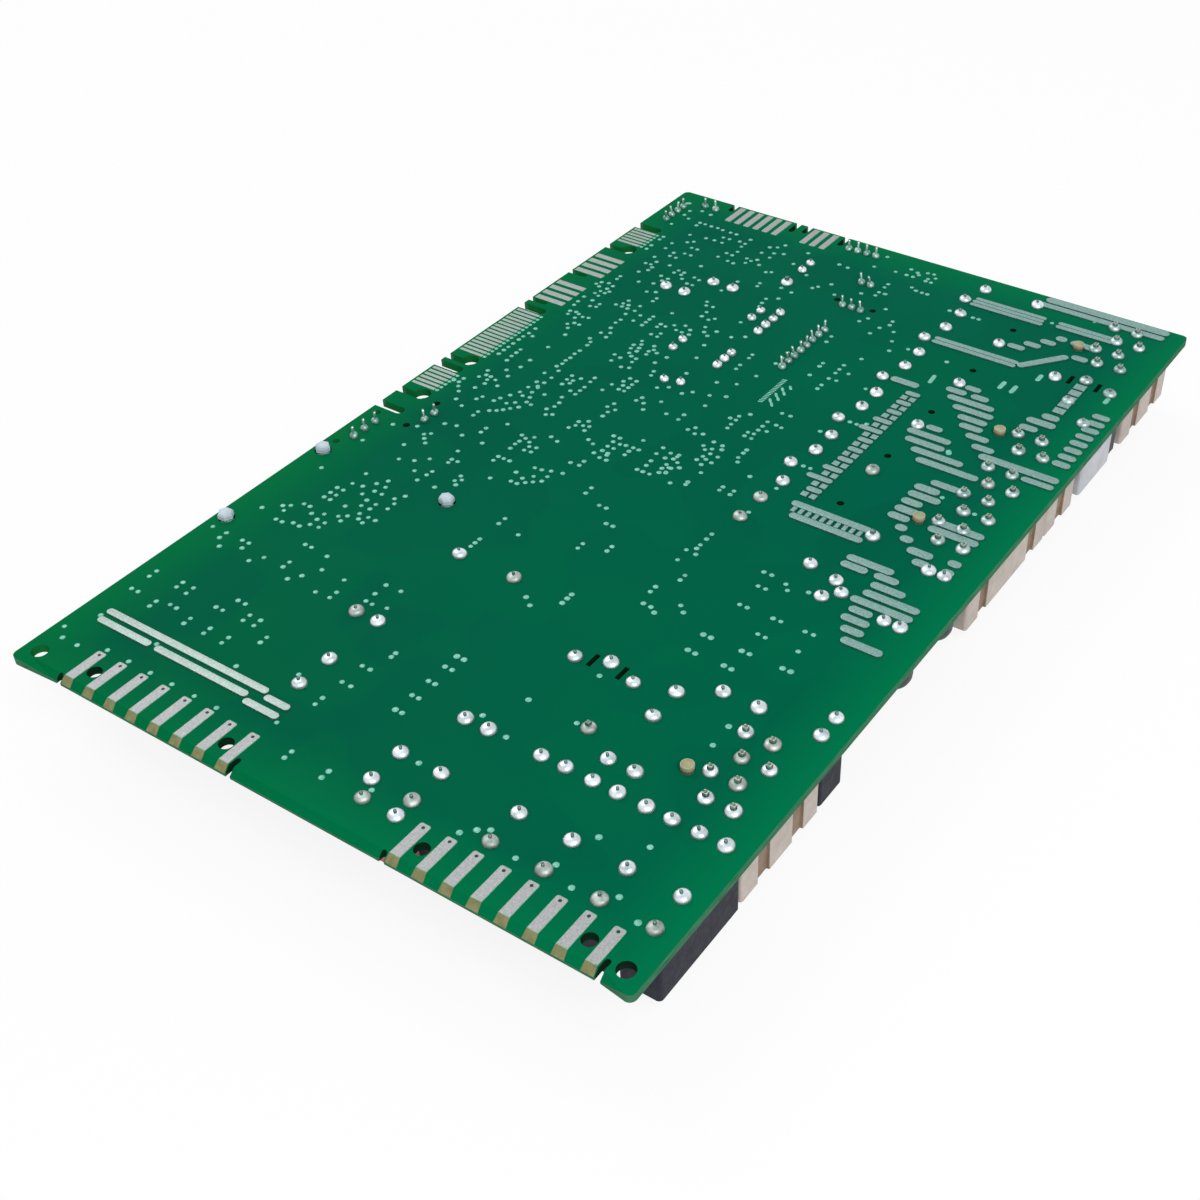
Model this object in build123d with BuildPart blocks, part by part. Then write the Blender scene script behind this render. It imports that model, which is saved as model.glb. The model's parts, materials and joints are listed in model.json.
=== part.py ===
from build123d import *
import os

# Oven control board: a printed circuit board lying on its tall components, solder side up.
# Millimetres. +X runs along the front edge, +Y to the rear edge, +Z out of the solder side.
# The origin is on the resting plane, under the middle of the board.

# ---- board ----
board_width = 125.0
board_length = 200.0
board_thickness = 1.6
board_corner_radius = 1.2
stand_height = 15.7          # height of the tall components, which carry the board
right_field_width = 60.0     # right-hand parts are placed from a line this far in from the edge
rear_field_length = 125.0    # rear parts are placed from a line this far in from the rear edge

component_face = stand_height
solder_face = stand_height + board_thickness

# ---- leads, solder and copper ----
power_lead_width = 0.8
signal_lead_width = 0.6
lead_clearance = 0.08        # between a lead's corner and its drilled hole
lead_rise = 1.5              # how far a lead stands above the solder face
header_pin_rise = 2.4        # the signal pins are left long
power_joint_radius = 1.3
signal_joint_radius = 1.0
joint_tip_radius = 0.62
joint_height = 1.1
copper_thickness = 0.1
track_height = 0.3           # copper with its solder

# ---- edge contacts ----
front_contact_pitch = 5.0
front_contact_width = 2.0
front_contact_length = 7.1
front_contact_setback = 1.7
front_contact_count = 8
wide_contact_pitch = 2.5
wide_contact_width = 1.5
wide_contact_length = 7.3
fine_contact_pitch = 1.27
fine_contact_width = 0.8
fine_contact_length = 5.9
side_contact_setback = 0.5
edge_slot_width = 1.7
edge_slot_depth = 6.4
broad_slot_width = 2.2
short_slot_width = 1.4
short_slot_depth = 4.4
keyhole_radius = 1.75
coding_hole_radius = 1.3
corner_hole_radius = 1.5

# ---- sugar-cube relays ----
cube_relay_length = 19.6
cube_relay_width = 16.5
cube_relay_y = (41.5, 59.4, 77.2, 95.2, 114.0)
cube_relay_x = 22.3          # centre
cube_relay_common_x = 8.0    # pins, measured from the centre towards -X or +X
cube_relay_coil_x = 6.1
cube_relay_contact_x = 6.1
cube_relay_half_row = 6.0

# ---- slim relays ----
slim_relay_length = 21.0
slim_relay_width = 7.4
slim_relay_height = 12.9
slim_relay_x = (9.9, 24.8, 34.5, 44.3, 53.7)
slim_relay_y = 20.5          # middle of the row's bodies
slim_relay_pair = 4.6        # spacing of the two contact pins
slim_relay_contact_end = 1.8
slim_relay_first_gap = 11.3
slim_relay_second_gap = 6.7
case_corner_radius = 0.8

# ---- tab headers ----
tab_pitch = 5.0
tab_thickness = 0.8
tab_width = 6.3
tab_height = 8.3
tab_leg_spacing = 4.9
tab_stagger = 2.45
tab_inner_offset = 0.95       # inner blades, from the housing's middle away from the board's edge
header_width = 15.8
header_height = 12.5
header_x = 49.3              # middle of the headers, from the right-hand field's line
header_wall = 1.2
header_floor = 2.4
header_end_margin = 3.9
header_groove_width = 3.4
header_groove_depth = 0.6
peg_radius = 1.1
peg_inset = 0.2
peg_rise = 1.2
peg_clearance = 0.1

# ---- power semiconductors ----
triac_pitch = 5.8
triac_middle_offset = 2.0
triac_body_offset = 1.2
triac_body_width = 15.0
triac_body_depth = 4.4
triac_body_height = 12.5
isolation_slot_width = 0.9
isolation_slot_length = 3.2

# ---- spacer frame ----
frame_wall = 2.0
frame_x = (2.3, 33.0)        # middles of the walls
frame_y = (-28.5, -3.2)
stake_radius = 1.5
stake_head_radius = 1.7
stake_rise = 0.9

# ---- passive parts ----
big_can_radius = 5.0
big_can_height = 14.0
small_can_radius = 3.6
small_can_height = 11.5
can_groove_depth = 0.3
can_groove_share = 0.16      # of the can's height, from the board
choke_radius = 3.7
choke_height = 12.0
disc_radius = 5.5
disc_thickness = 3.6
film_length = 14.6
film_width = 9.6
film_height = 12.6
film_corner = 0.6
small_film_end = 1.45          # case beyond each lead
small_film_width = 4.0
small_film_height = 8.0
signal_header_width = 4.2
signal_header_end = 1.7
signal_strip_height = 2.6
signal_pin_length = 6.4      # below the strip
post_collar = 1.6
post_collar_height = 1.0
choke_flange = 1.6
choke_waist = 0.6            # how far the winding sits inside the flanges
line_choke_bore = 2.2
line_choke_chamfer = 0.8

# ---- cased parts: size along X, size along Y, height, corner radius ----
bridge_case = (4.4, 14.6, 10.0, 0.5)
regulator_case = (4.4, 10.2, 13.0, 0.5)
crystal_case = (11.2, 4.7, 3.6, 2.3)
triac_corner = 0.5
fuse_corner = 0.4
chip_corner = 0.3
chip_foot = 0.9
chip_foot_width = 0.4
chip_foot_height = 0.25


def front_left(x, y):
    """A point measured from the front left corner."""
    return (x - board_width / 2, y - board_length / 2)


def front_right(x, y):
    """x from the right-hand field's line, y from the front edge."""
    return (board_width / 2 - right_field_width + x, y - board_length / 2)


def rear_left(x, y):
    """x from the left edge, y from the rear field's line."""
    return (x - board_width / 2, board_length / 2 - rear_field_length + y)


def rear_right(x, y):
    """x from the right-hand field's line, y from the rear field's line."""
    return (board_width / 2 - right_field_width + x, board_length / 2 - rear_field_length + y)


def front_middle(x, y):
    """x from the board's middle, y from the front edge."""
    return (x, y - board_length / 2)


def shifted(point, dx, dy):
    return (point[0] + dx, point[1] + dy)


def row(start, dx, dy, count):
    """Evenly spaced points."""
    return [(start[0] + dx * i, start[1] + dy * i) for i in range(count)]


# ---- where the leads are ----
def cube_relay_pins(centre):
    """Common, two coil pins and the one fitted contact pin."""
    return [
        shifted(centre, -cube_relay_common_x, 0),
        shifted(centre, -cube_relay_coil_x, cube_relay_half_row),
        shifted(centre, -cube_relay_coil_x, -cube_relay_half_row),
        shifted(centre, cube_relay_contact_x, cube_relay_half_row),
    ]


def slim_relay_pins():
    """Pin places about the body's middle, contact pins at +Y."""
    top = slim_relay_length / 2 - slim_relay_contact_end
    side = slim_relay_pair / 2
    return [
        (-side, top),
        (side, top),
        (side, top - slim_relay_first_gap),
        (side, top - slim_relay_first_gap - slim_relay_second_gap),
    ]


def triac_pins(centre):
    return [
        shifted(centre, -triac_pitch, 0),
        shifted(centre, 0, triac_middle_offset),
        shifted(centre, triac_pitch, 0),
    ]


cube_relay_centres = [rear_right(cube_relay_x, y) for y in cube_relay_y]
slim_relay_centres = [front_right(x, slim_relay_y) for x in slim_relay_x]
cross_relay_centre = front_right(47.3, 58.6)
cross_relay_pins = [shifted(cross_relay_centre, y, -x) for x, y in slim_relay_pins()]
cross_relay_body = shifted(cross_relay_centre, -0.8, 0)
triac_centres = {"triac_front": front_right(19.0, 50.3), "triac_rear": rear_right(49.2, 95.6)}

# Tab headers: place of the first tab's row, tabs, and whether the first tab is the outer one.
header_centre_x = front_right(header_x, 0)[0]
tab_headers = {
    "tab_header_1": (front_right(0, 35.5)[1], 4),
    "tab_header_2": (rear_right(0, 35.0)[1], 6),
    "tab_header_3": (rear_right(0, 68.0)[1], 2),
    "tab_header_4": (rear_right(0, 104.9)[1], 4),
}
header_peg_from_tab = 3.6
header_peg_x = header_centre_x - header_width / 2 + peg_radius + peg_inset


def tab_places(first_y, count):
    """Centres of the blades, every second one nearer the board's edge."""
    inner_x = header_centre_x - tab_inner_offset
    return [(inner_x + tab_stagger * (1 - i % 2), first_y + tab_pitch * i) for i in range(count)]


def tab_legs(places):
    return [shifted(p, side * tab_leg_spacing / 2, 0) for p in places for side in (-1, 1)]


all_tabs = [place for first, count in tab_headers.values() for place in tab_places(first, count)]

big_can_places = [
    rear_left(24.3, 84.1),
    front_left(42.8, 39.4),
]
big_can_pitch = 4.8
small_can_places = [rear_left(37.6, 65.5), rear_left(45.0, 84.3), rear_left(43.3, 108.0)]
small_can_pitch = 3.6
small_film_pitch = 6.6
narrow_film_pitch = 5.0
film_places = [
    (rear_left(32.2, 91.1), 0, narrow_film_pitch),
    (front_right(34.0, 34.2), 0, narrow_film_pitch),
    (front_right(4.1, 14.6), 90, small_film_pitch),
    (front_right(8.9, 7.6), 0, small_film_pitch),
    (front_right(31.8, 49.0), 90, small_film_pitch),
]
disc_places = [front_left(45.0, 24.4), rear_right(15.4, 25.5)]
disc_pitch = 7.0
choke_places = [rear_right(52.5, 10.5), rear_right(52.5, 26.5)]
choke_pitch = 3.0
choke_body_centres = [rear_right(52.5, 12.2), rear_right(52.5, 27.2)]
film_capacitor_centre = rear_right(52.6, 87.1)
film_capacitor_pins = [rear_right(54.9, 83.1), rear_right(49.2, 88.8)]
fuse_centre = front_left(51.05, 61.0)
fuse_pitch = 12.1
fuse_length = 15.0
fuse_size = 5.0
line_choke_pins = [
    rear_right(33.0, 17.0),
    rear_right(39.0, 15.5),
    rear_right(41.4, 13.0),
    rear_right(39.0, 10.5),
]
line_choke_centre = rear_right(36.8, 13.8)
line_choke_radius = 5.9
line_choke_height = 11.0
bridge_pins = row(rear_left(49.0, 78.6), 0, 3.0, 4)
bridge_centre = rear_left(50.9, 83.1)
regulator_pins = row(rear_left(49.0, 62.9), 0, 2.65, 3)
regulator_centre = rear_left(50.9, 65.5)
crystal_pins = [rear_left(43.0, 52.6), rear_left(46.4, 53.4)]
crystal_centre = rear_left(44.7, 53.0)
posts = [rear_right(38.2, 29.8), rear_left(43.3, 99.7), front_right(25.0, 38.0)]

# Signal headers: centre of the pin row, direction in degrees, pins, pitch.
signal_headers = {
    "side_header": (rear_left(4.2, 6.4), 90, 3, 3.05),
    "latch_header": (rear_left(12.0, 16.5), 90, 2, 3.0),
    "corner_header": (rear_left(4.1, 113.9), 90, 4, 2.4),
    "rear_header_1": (rear_left(9.8, 120.4), 0, 2, 2.9),
    "rear_header_2": (rear_left(50.5, 120.4), 0, 4, 2.3),
    "service_header": (rear_left(60.6, 97.6), 0, 3, 2.2),
    "link_header": (rear_left(58.2, 108.3), 0, 2, 2.2),
    "ribbon_header": (rear_left(60.4, 78.0), 90, 8, 2.45),
}
guide_holes = [
    rear_left(2.2, 12.3),
    rear_left(2.2, 0.5),
    rear_left(10.0, 21.1),
    rear_left(10.0, 12.0),
    rear_left(56.1, 99.4),
    rear_left(64.9, 99.2),
]
guide_hole_radius = 0.7


def line_points(centre, angle, count, pitch):
    """A centred row of points along X (0 degrees) or Y (90 degrees)."""
    dx = pitch if angle == 0 else 0
    dy = pitch if angle == 90 else 0
    start = shifted(centre, -dx * (count - 1) / 2, -dy * (count - 1) / 2)
    return row(start, dx, dy, count)


signal_pins = [p for spec in signal_headers.values() for p in line_points(*spec)]

power_leads = [p for centre in cube_relay_centres for p in cube_relay_pins(centre)]
power_leads += [shifted(centre, *pin) for centre in slim_relay_centres for pin in slim_relay_pins()]
power_leads += cross_relay_pins
power_leads += [p for centre in triac_centres.values() for p in triac_pins(centre)]
power_leads += [p for place in big_can_places for p in line_points(place, 0, 2, big_can_pitch)]
for place, angle, pitch in film_places:
    power_leads += line_points(place, angle, 2, pitch)
power_leads += [p for place in disc_places for p in line_points(place, 90, 2, disc_pitch)]
power_leads += [p for place in choke_places for p in line_points(place, 0, 2, choke_pitch)]
power_leads += line_points(fuse_centre, 0, 2, fuse_pitch)
power_leads += film_capacitor_pins + line_choke_pins
signal_leads = [p for place in small_can_places for p in line_points(place, 90, 2, small_can_pitch)]
signal_leads += bridge_pins + regulator_pins + crystal_pins
power_holes = power_leads + tab_legs(all_tabs) + posts
signal_holes = signal_leads + signal_pins
spare_contact_holes = [
    shifted(centre, cube_relay_contact_x, -cube_relay_half_row) for centre in cube_relay_centres
]
pegs = [(header_peg_x, first + header_peg_from_tab) for first, count in tab_headers.values()]
stakes = [rear_left(frame_x[i], frame_y[j]) for i, j in ((0, 0), (0, 1), (1, 1))]


def lead_hole_radius(width):
    return width / 2**0.5 + lead_clearance


# ---- edge contacts and the slots between them ----
# Left edge: first contact's place in the rear field, contacts, and their pitch, width, length.
wide = (wide_contact_pitch, wide_contact_width, wide_contact_length)
fine = (fine_contact_pitch, fine_contact_width, fine_contact_length)
side_groups = [
    (24.85, 6, fine),
    (39.9, 16, fine),
    (65.8, 4, wide),
    (80.2, 4, wide),
    (96.2, 6, fine),
]
wide_slot_setback = 1.6      # short slot, below a wide group's first contact
keyhole_setback = 3.55       # keyhole slot, below a fine group's first contact
keyhole_x = 5.2
keyhole_lift = 1.0
broad_slot_gap = 1.95        # broad slot, above a fine group's last contact
latch_slot_y = 15.2
rear_groups = [(16.5, 6), (36.6, 3)]
rear_slots = [(14.3, 3.2), (31.4, 4.4), (34.4, 3.4), (44.2, 4.2)]
rear_slot_width = 1.3
front_groups = [front_left(12.5, 0), front_right(17.1, 0)]
front_slot_width = 1.0
front_slot_gap = 1.75        # slot beside a front group, from the outer contact's middle
front_slot_depths = (1.8, 3.6)
coding_offsets = (0.5, 6.5)  # coding holes, in contact pitches from the first contact
coding_setback = 4.8
corner_hole_setback = (3.3, 3.4)


def side_contacts(group):
    """Centres of one left-edge group."""
    first, count, (pitch, _, length) = group
    return row(rear_left(side_contact_setback + length / 2, first), 0, pitch, count)


def edge_slots():
    """(centre, length, width) of every open slot, each running in from its board edge."""
    slots = [(rear_left(0, latch_slot_y), "left", edge_slot_depth, broad_slot_width)]
    for first, count, kind in side_groups:
        if kind is wide:
            place = rear_left(0, first - wide_slot_setback)
            slots.append((place, "left", short_slot_depth, short_slot_width))
        else:
            place = rear_left(0, first - keyhole_setback)
            slots.append((place, "left", edge_slot_depth, edge_slot_width))
            place = rear_left(0, first + fine_contact_pitch * (count - 1) + broad_slot_gap)
            slots.append((place, "left", edge_slot_depth, broad_slot_width))
    for x, depth in rear_slots:
        slots.append(((x - board_width / 2, board_length / 2), "rear", depth, rear_slot_width))
    for start in front_groups:
        reach = front_contact_pitch * (front_contact_count - 1) + front_slot_gap
        for dx, depth in zip((-front_slot_gap, reach), front_slot_depths):
            slots.append((shifted(start, dx, 0), "front", depth, front_slot_width))
    return slots


slot_directions = {"left": (1, 0), "rear": (0, -1), "front": (0, 1)}


def cut_edge_slots():
    """Open slots with round inner ends, in the active sketch."""
    for (x, y), edge, depth, width in edge_slots():
        dx, dy = slot_directions[edge]
        straight = depth - width / 2
        size = (2 * straight, width) if dx else (width, 2 * straight)
        with Locations((x, y)):
            Rectangle(*size, mode=Mode.SUBTRACT)
        with Locations((x + dx * straight, y + dy * straight)):
            Circle(width / 2, mode=Mode.SUBTRACT)


def slot_places(centre):
    """Isolation slots between a triac's pins."""
    return [shifted(centre, side * triac_pitch / 2, triac_middle_offset / 2) for side in (-1, 1)]


keyholes = [
    rear_left(keyhole_x, first - keyhole_setback + keyhole_lift)
    for first, _, kind in side_groups
    if kind is fine
]
coding_holes = [
    shifted(start, front_contact_pitch * n, coding_setback)
    for start in front_groups
    for n in coding_offsets
]
corner_x, corner_y = corner_hole_setback
corner_holes = [front_left(corner_x, corner_y), front_right(right_field_width - corner_x, corner_y)]


def save(piece, name):
    """Label a finished piece and write it out."""
    piece.part.label = name
    export_step(piece.part, f"parts/{name}.step")


os.makedirs("parts", exist_ok=True)

# ---- circuit board ----
with BuildPart() as circuit_board:
    with BuildSketch(Plane.XY.offset(component_face)):
        Rectangle(board_width, board_length)
        fillet(vertices(), board_corner_radius)
        cut_edge_slots()
        with Locations(*keyholes):
            Circle(keyhole_radius, mode=Mode.SUBTRACT)
        with Locations(*coding_holes):
            Circle(coding_hole_radius, mode=Mode.SUBTRACT)
        with Locations(*corner_holes):
            Circle(corner_hole_radius, mode=Mode.SUBTRACT)
        with Locations(*power_holes):
            Circle(lead_hole_radius(power_lead_width), mode=Mode.SUBTRACT)
        with Locations(*signal_holes):
            Circle(lead_hole_radius(signal_lead_width), mode=Mode.SUBTRACT)
        with Locations(*spare_contact_holes, *guide_holes):
            Circle(guide_hole_radius, mode=Mode.SUBTRACT)
        with Locations(*pegs):
            Circle(peg_radius + peg_clearance, mode=Mode.SUBTRACT)
        with Locations(*stakes):
            Circle(stake_radius + peg_clearance, mode=Mode.SUBTRACT)
        with Locations(*[p for c in triac_centres.values() for p in slot_places(c)]):
            Rectangle(isolation_slot_width, isolation_slot_length, mode=Mode.SUBTRACT)
    extrude(amount=board_thickness)
save(circuit_board, "circuit_board")


# ---- edge contacts ----
front_contact_y = front_contact_setback + front_contact_length / 2
with BuildPart() as front_edge_contacts:
    with BuildSketch(Plane.XY.offset(solder_face)):
        for start in front_groups:
            first = shifted(start, 0, front_contact_y)
            with Locations(*row(first, front_contact_pitch, 0, front_contact_count)):
                Rectangle(front_contact_width, front_contact_length)
    extrude(amount=copper_thickness)
save(front_edge_contacts, "front_edge_contacts")

with BuildPart() as side_edge_contacts:
    with BuildSketch(Plane.XY.offset(solder_face)):
        for group in side_groups:
            _, width, length = group[2]
            with Locations(*side_contacts(group)):
                Rectangle(length, width)
    extrude(amount=copper_thickness)
save(side_edge_contacts, "side_edge_contacts")

rear_contact_y = board_length / 2 - side_contact_setback - wide_contact_length / 2
with BuildPart() as rear_edge_contacts:
    with BuildSketch(Plane.XY.offset(solder_face)):
        for x, count in rear_groups:
            with Locations(*row((x - board_width / 2, rear_contact_y), wide_contact_pitch, 0, count)):
                Rectangle(wide_contact_width, wide_contact_length)
    extrude(amount=copper_thickness)
save(rear_edge_contacts, "rear_edge_contacts")


# ---- tinned tracks ----
# Each bar is (x from, x to, y, width), round ended and running along X.
bar_width = 1.7
thin_bar_width = 1.35
supply_bars = [
    (4.9, 42.3, 16.6, thin_bar_width),
    (42.6, 47.9, 15.6, thin_bar_width),
    (5.2, 17.7, 14.3, thin_bar_width),
    (18.9, 40.0, 14.3, thin_bar_width),
    (40.3, 47.8, 13.2, thin_bar_width),
]
relay_bars = [
    (29.0, 56.5, 123.3, 2.1),
    (27.2, 56.3, 120.9, bar_width),
    (16.2, 32.5, 115.5, 1.1),
    (16.0, 32.5, 114.2, 1.1),
    (16.0, 32.7, 112.9, 1.1),
    (35.3, 48.0, 115.4, 1.2),
    (35.3, 48.0, 114.0, 1.2),
    (16.2, 35.0, 96.3, 1.2),
    (16.2, 35.0, 94.9, 1.2),
    (30.0, 33.8, 101.9, bar_width),
    (32.5, 36.2, 104.4, bar_width),
    (35.0, 38.4, 107.0, bar_width),
    (37.3, 39.7, 109.7, 1.9),
    (40.6, 46.0, 109.6, 1.9),
    (43.0, 46.5, 104.5, 1.8),
    (16.0, 22.2, 77.6, 1.8),
    (30.0, 33.4, 82.6, 1.6),
    (27.0, 31.4, 80.2, bar_width),
    (32.4, 36.2, 80.3, bar_width),
    (28.5, 38.5, 77.8, bar_width),
    (31.0, 39.6, 75.2, bar_width),
    (33.4, 39.6, 72.5, bar_width),
    (35.0, 39.9, 70.0, bar_width),
    (37.6, 42.4, 67.5, bar_width),
    (40.2, 44.8, 64.8, bar_width),
    (42.8, 59.0, 62.5, 1.9),
    (52.6, 59.0, 60.1, 1.5),
    (30.0, 33.4, 66.0, 1.6),
    (27.4, 36.6, 63.1, bar_width),
    (28.4, 36.6, 60.4, bar_width),
    (31.0, 41.8, 57.8, bar_width),
    (33.4, 46.2, 55.2, bar_width),
    (39.2, 45.0, 50.1, bar_width),
    (37.2, 42.3, 47.5, 1.9),
    (37.2, 43.7, 45.0, 1.8),
    (37.2, 41.4, 42.4, 1.8),
    (37.3, 42.0, 39.8, 1.9),
    (37.2, 41.5, 37.3, 1.8),
    (40.1, 42.4, 34.7, 1.8),
    (42.4, 44.9, 32.2, 1.8),
    (45.0, 50.0, 29.9, 1.9),
    (47.3, 50.6, 27.4, 1.8),
    (46.0, 55.0, 39.7, 1.8),
    (45.2, 55.0, 37.4, 1.8),
    (37.2, 46.4, 22.4, bar_width),
    (37.2, 42.4, 20.3, bar_width),
    (43.7, 48.4, 20.4, bar_width),
    (44.4, 51.0, 17.9, bar_width),
    (44.3, 55.0, 15.4, bar_width),
    (43.3, 55.0, 12.9, bar_width),
    (44.4, 48.8, 10.4, bar_width),
    (44.3, 49.6, 7.9, bar_width),
    (45.7, 50.0, 5.3, bar_width),
    (47.2, 54.9, 2.7, bar_width),
    (47.0, 50.6, 81.5, 1.9),
    (45.0, 51.0, 78.8, 1.9),
    (44.8, 48.6, 75.9, 1.8),
    (44.8, 47.2, 73.1, 1.8),
    (52.7, 55.2, 30.4, 1.8),
    (52.9, 55.2, 27.6, 1.8),
]
# The heavy return track: a ladder of pads, then a double bar with rungs between.
ladder_x = (21.6, 23.4)
ladder_first = 34.2
ladder_pitch = 1.92
ladder_rungs = 22
ladder_pad = 1.35
ladder_pad_gap = 0.1
wide_rungs = {3: 18.7, 5: 19.9, 13: 19.0, 15: 20.0}
return_bars = [(21.0, 37.4, 30.8, 1.6), (22.5, 37.4, 27.4, 1.6)]
rung_y = 29.1
rung_size = (0.8, 1.5)
rung_first = 22.4
rung_pitch = 1.5
rung_count = 10
# Column of pads up to the rear triac, and the block of bars at the right-hand edge.
column_x = 49.2
column_first = 84.6
column_pitch = 2.5
column_pads = 5
column_pad = (2.3, 1.9)
edge_block_x = (55.2, 58.8)
edge_block_first = 68.0
edge_block_pitch = 2.67
edge_block_bars = 8
diagonal_start = (35.8, 96.0)
diagonal_end = (41.9, 103.4)


def bar(datum, x_from, x_to, y, width):
    """One round-ended bar in the active sketch."""
    with Locations(datum((x_from + x_to) / 2, y)):
        SlotOverall(x_to - x_from, width)


with BuildPart() as tinned_tracks:
    with BuildSketch(Plane.XY.offset(solder_face)):
        for item in supply_bars:
            bar(front_left, *item)
        for item in relay_bars + return_bars:
            bar(rear_right, *item)
        for i in range(ladder_rungs):
            y = ladder_first + ladder_pitch * i
            if i % 2:
                start = wide_rungs.get(i, ladder_x[0] - ladder_pad / 2)
                bar(rear_right, start, ladder_x[1] + ladder_pad / 2, y, ladder_pad)
            else:
                with Locations(*[rear_right(x, y) for x in ladder_x]):
                    Rectangle(ladder_pad - ladder_pad_gap, ladder_pad)
        with Locations(*row(rear_right(rung_first, rung_y), rung_pitch, 0, rung_count)):
            Rectangle(*rung_size)
        with Locations(*row(rear_right(column_x, column_first), 0, column_pitch, column_pads)):
            Rectangle(*column_pad)
        for i in range(edge_block_bars):
            bar(rear_right, *edge_block_x, edge_block_first + edge_block_pitch * i, bar_width)
        run = Vector(*rear_right(*diagonal_end)) - Vector(*rear_right(*diagonal_start))
        middle = [(a + b) / 2 for a, b in zip(diagonal_start, diagonal_end)]
        with Locations(rear_right(*middle)):
            SlotOverall(run.length + bar_width, bar_width, rotation=Vector(1, 0).get_angle(run))
        with Locations(*power_holes):
            Circle(power_joint_radius, mode=Mode.SUBTRACT)
        with Locations(*pegs):
            Circle(peg_radius + peg_clearance, mode=Mode.SUBTRACT)
    extrude(amount=track_height)
save(tinned_tracks, "tinned_tracks")


# ---- solder joints and leads ----
def solder_cone(radius, width):
    """A joint's cone with a square way for its lead, standing on the solder face at the origin."""
    with BuildPart(Plane.XY.offset(solder_face)) as cone:
        Cone(radius, joint_tip_radius, joint_height, align=(Align.CENTER, Align.CENTER, Align.MIN))
        Box(width, width, 3 * joint_height, mode=Mode.SUBTRACT)
    return cone.part


power_cone = solder_cone(power_joint_radius, power_lead_width)
signal_cone = solder_cone(signal_joint_radius, signal_lead_width)
with BuildPart() as solder_joints:
    with Locations(*power_holes):
        add(power_cone)
    with Locations(*signal_holes):
        add(signal_cone)
save(solder_joints, "solder_joints")

with BuildPart() as component_leads:
    with BuildSketch(Plane.XY.offset(component_face)):
        with Locations(*power_leads):
            Rectangle(power_lead_width, power_lead_width)
        with Locations(*signal_leads):
            Rectangle(signal_lead_width, signal_lead_width)
    extrude(amount=board_thickness + lead_rise)
save(component_leads, "component_leads")

with BuildPart() as header_pins:
    with BuildSketch(Plane.XY.offset(solder_face + header_pin_rise)):
        with Locations(*signal_pins):
            Rectangle(signal_lead_width, signal_lead_width)
    extrude(amount=-(header_pin_rise + board_thickness + signal_strip_height + signal_pin_length))
save(header_pins, "header_pins")

with BuildPart() as test_posts:
    with BuildSketch(Plane.XY.offset(component_face - post_collar_height)):
        with Locations(*posts):
            Circle(post_collar / 2)
    extrude(amount=post_collar_height)
    with BuildSketch(Plane.XY.offset(component_face)):
        with Locations(*posts):
            Rectangle(power_lead_width, power_lead_width)
    extrude(amount=board_thickness + lead_rise)
save(test_posts, "test_posts")


# ---- cased parts on the component side ----
def case(name, centre, length_x, width_y, height, corner=case_corner_radius):
    """A moulded box under the board, with rounded upright edges."""
    with BuildPart() as body:
        with BuildSketch(Plane.XY.offset(component_face)):
            with Locations(centre):
                RectangleRounded(length_x, width_y, corner)
        extrude(amount=-height)
        chamfer(body.faces().sort_by(Axis.Z)[0].edges(), corner / 2)
    save(body, name)


for i, centre in enumerate(cube_relay_centres):
    case(f"cube_relay_{i + 1}", centre, cube_relay_length, cube_relay_width, stand_height)
for i, centre in enumerate(slim_relay_centres):
    case(f"slim_relay_{i + 1}", centre, slim_relay_width, slim_relay_length, slim_relay_height)
case("slim_relay_6", cross_relay_body, slim_relay_length, slim_relay_width, slim_relay_height)
case("film_capacitor", film_capacitor_centre, film_width, film_length, film_height, film_corner)
for name, centre in triac_centres.items():
    body_centre = shifted(centre, 0, triac_body_offset)
    case(name, body_centre, triac_body_width, triac_body_depth, triac_body_height, triac_corner)
case("bridge_rectifier", bridge_centre, *bridge_case)
case("voltage_regulator", regulator_centre, *regulator_case)
case("fuse_resistor", fuse_centre, fuse_length, fuse_size, fuse_size, fuse_corner)
case("crystal", crystal_centre, *crystal_case)


# ---- tab headers ----
def header_housing(name, first_y, count):
    """A moulded shroud round a row of blades, open away from the board, with key grooves and a peg."""
    half = tab_pitch * (count - 1) / 2
    centre = (header_centre_x, first_y + half)
    length = 2 * half + 2 * header_end_margin
    places = tab_places(first_y, count)
    outer_face = header_centre_x + header_width / 2
    grooves = sorted({places[0][1] + tab_pitch / 2, places[-1][1] - tab_pitch / 2})
    with BuildPart() as housing:
        with BuildSketch(Plane.XY.offset(component_face)):
            with Locations(centre):
                RectangleRounded(header_width, length, header_wall / 2)
            with Locations(*[(outer_face, y) for y in grooves]):
                Rectangle(2 * header_groove_depth, header_groove_width, mode=Mode.SUBTRACT)
        extrude(amount=-header_height)
        with BuildSketch(Plane.XY.offset(component_face - header_height)):
            with Locations(centre):
                Rectangle(header_width - 2 * header_wall, length - 2 * header_wall)
        extrude(amount=header_height - header_floor, mode=Mode.SUBTRACT)
        with BuildSketch(Plane.XY.offset(component_face)):
            with Locations(*places):
                Rectangle(tab_width, tab_thickness)
        extrude(amount=-header_floor, mode=Mode.SUBTRACT)
        with BuildSketch(Plane.XY.offset(component_face)):
            with Locations((header_peg_x, first_y + header_peg_from_tab)):
                Circle(peg_radius)
        extrude(amount=board_thickness + peg_rise)
    save(housing, name)


for name, (first_y, count) in tab_headers.items():
    header_housing(name, first_y, count)

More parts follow.
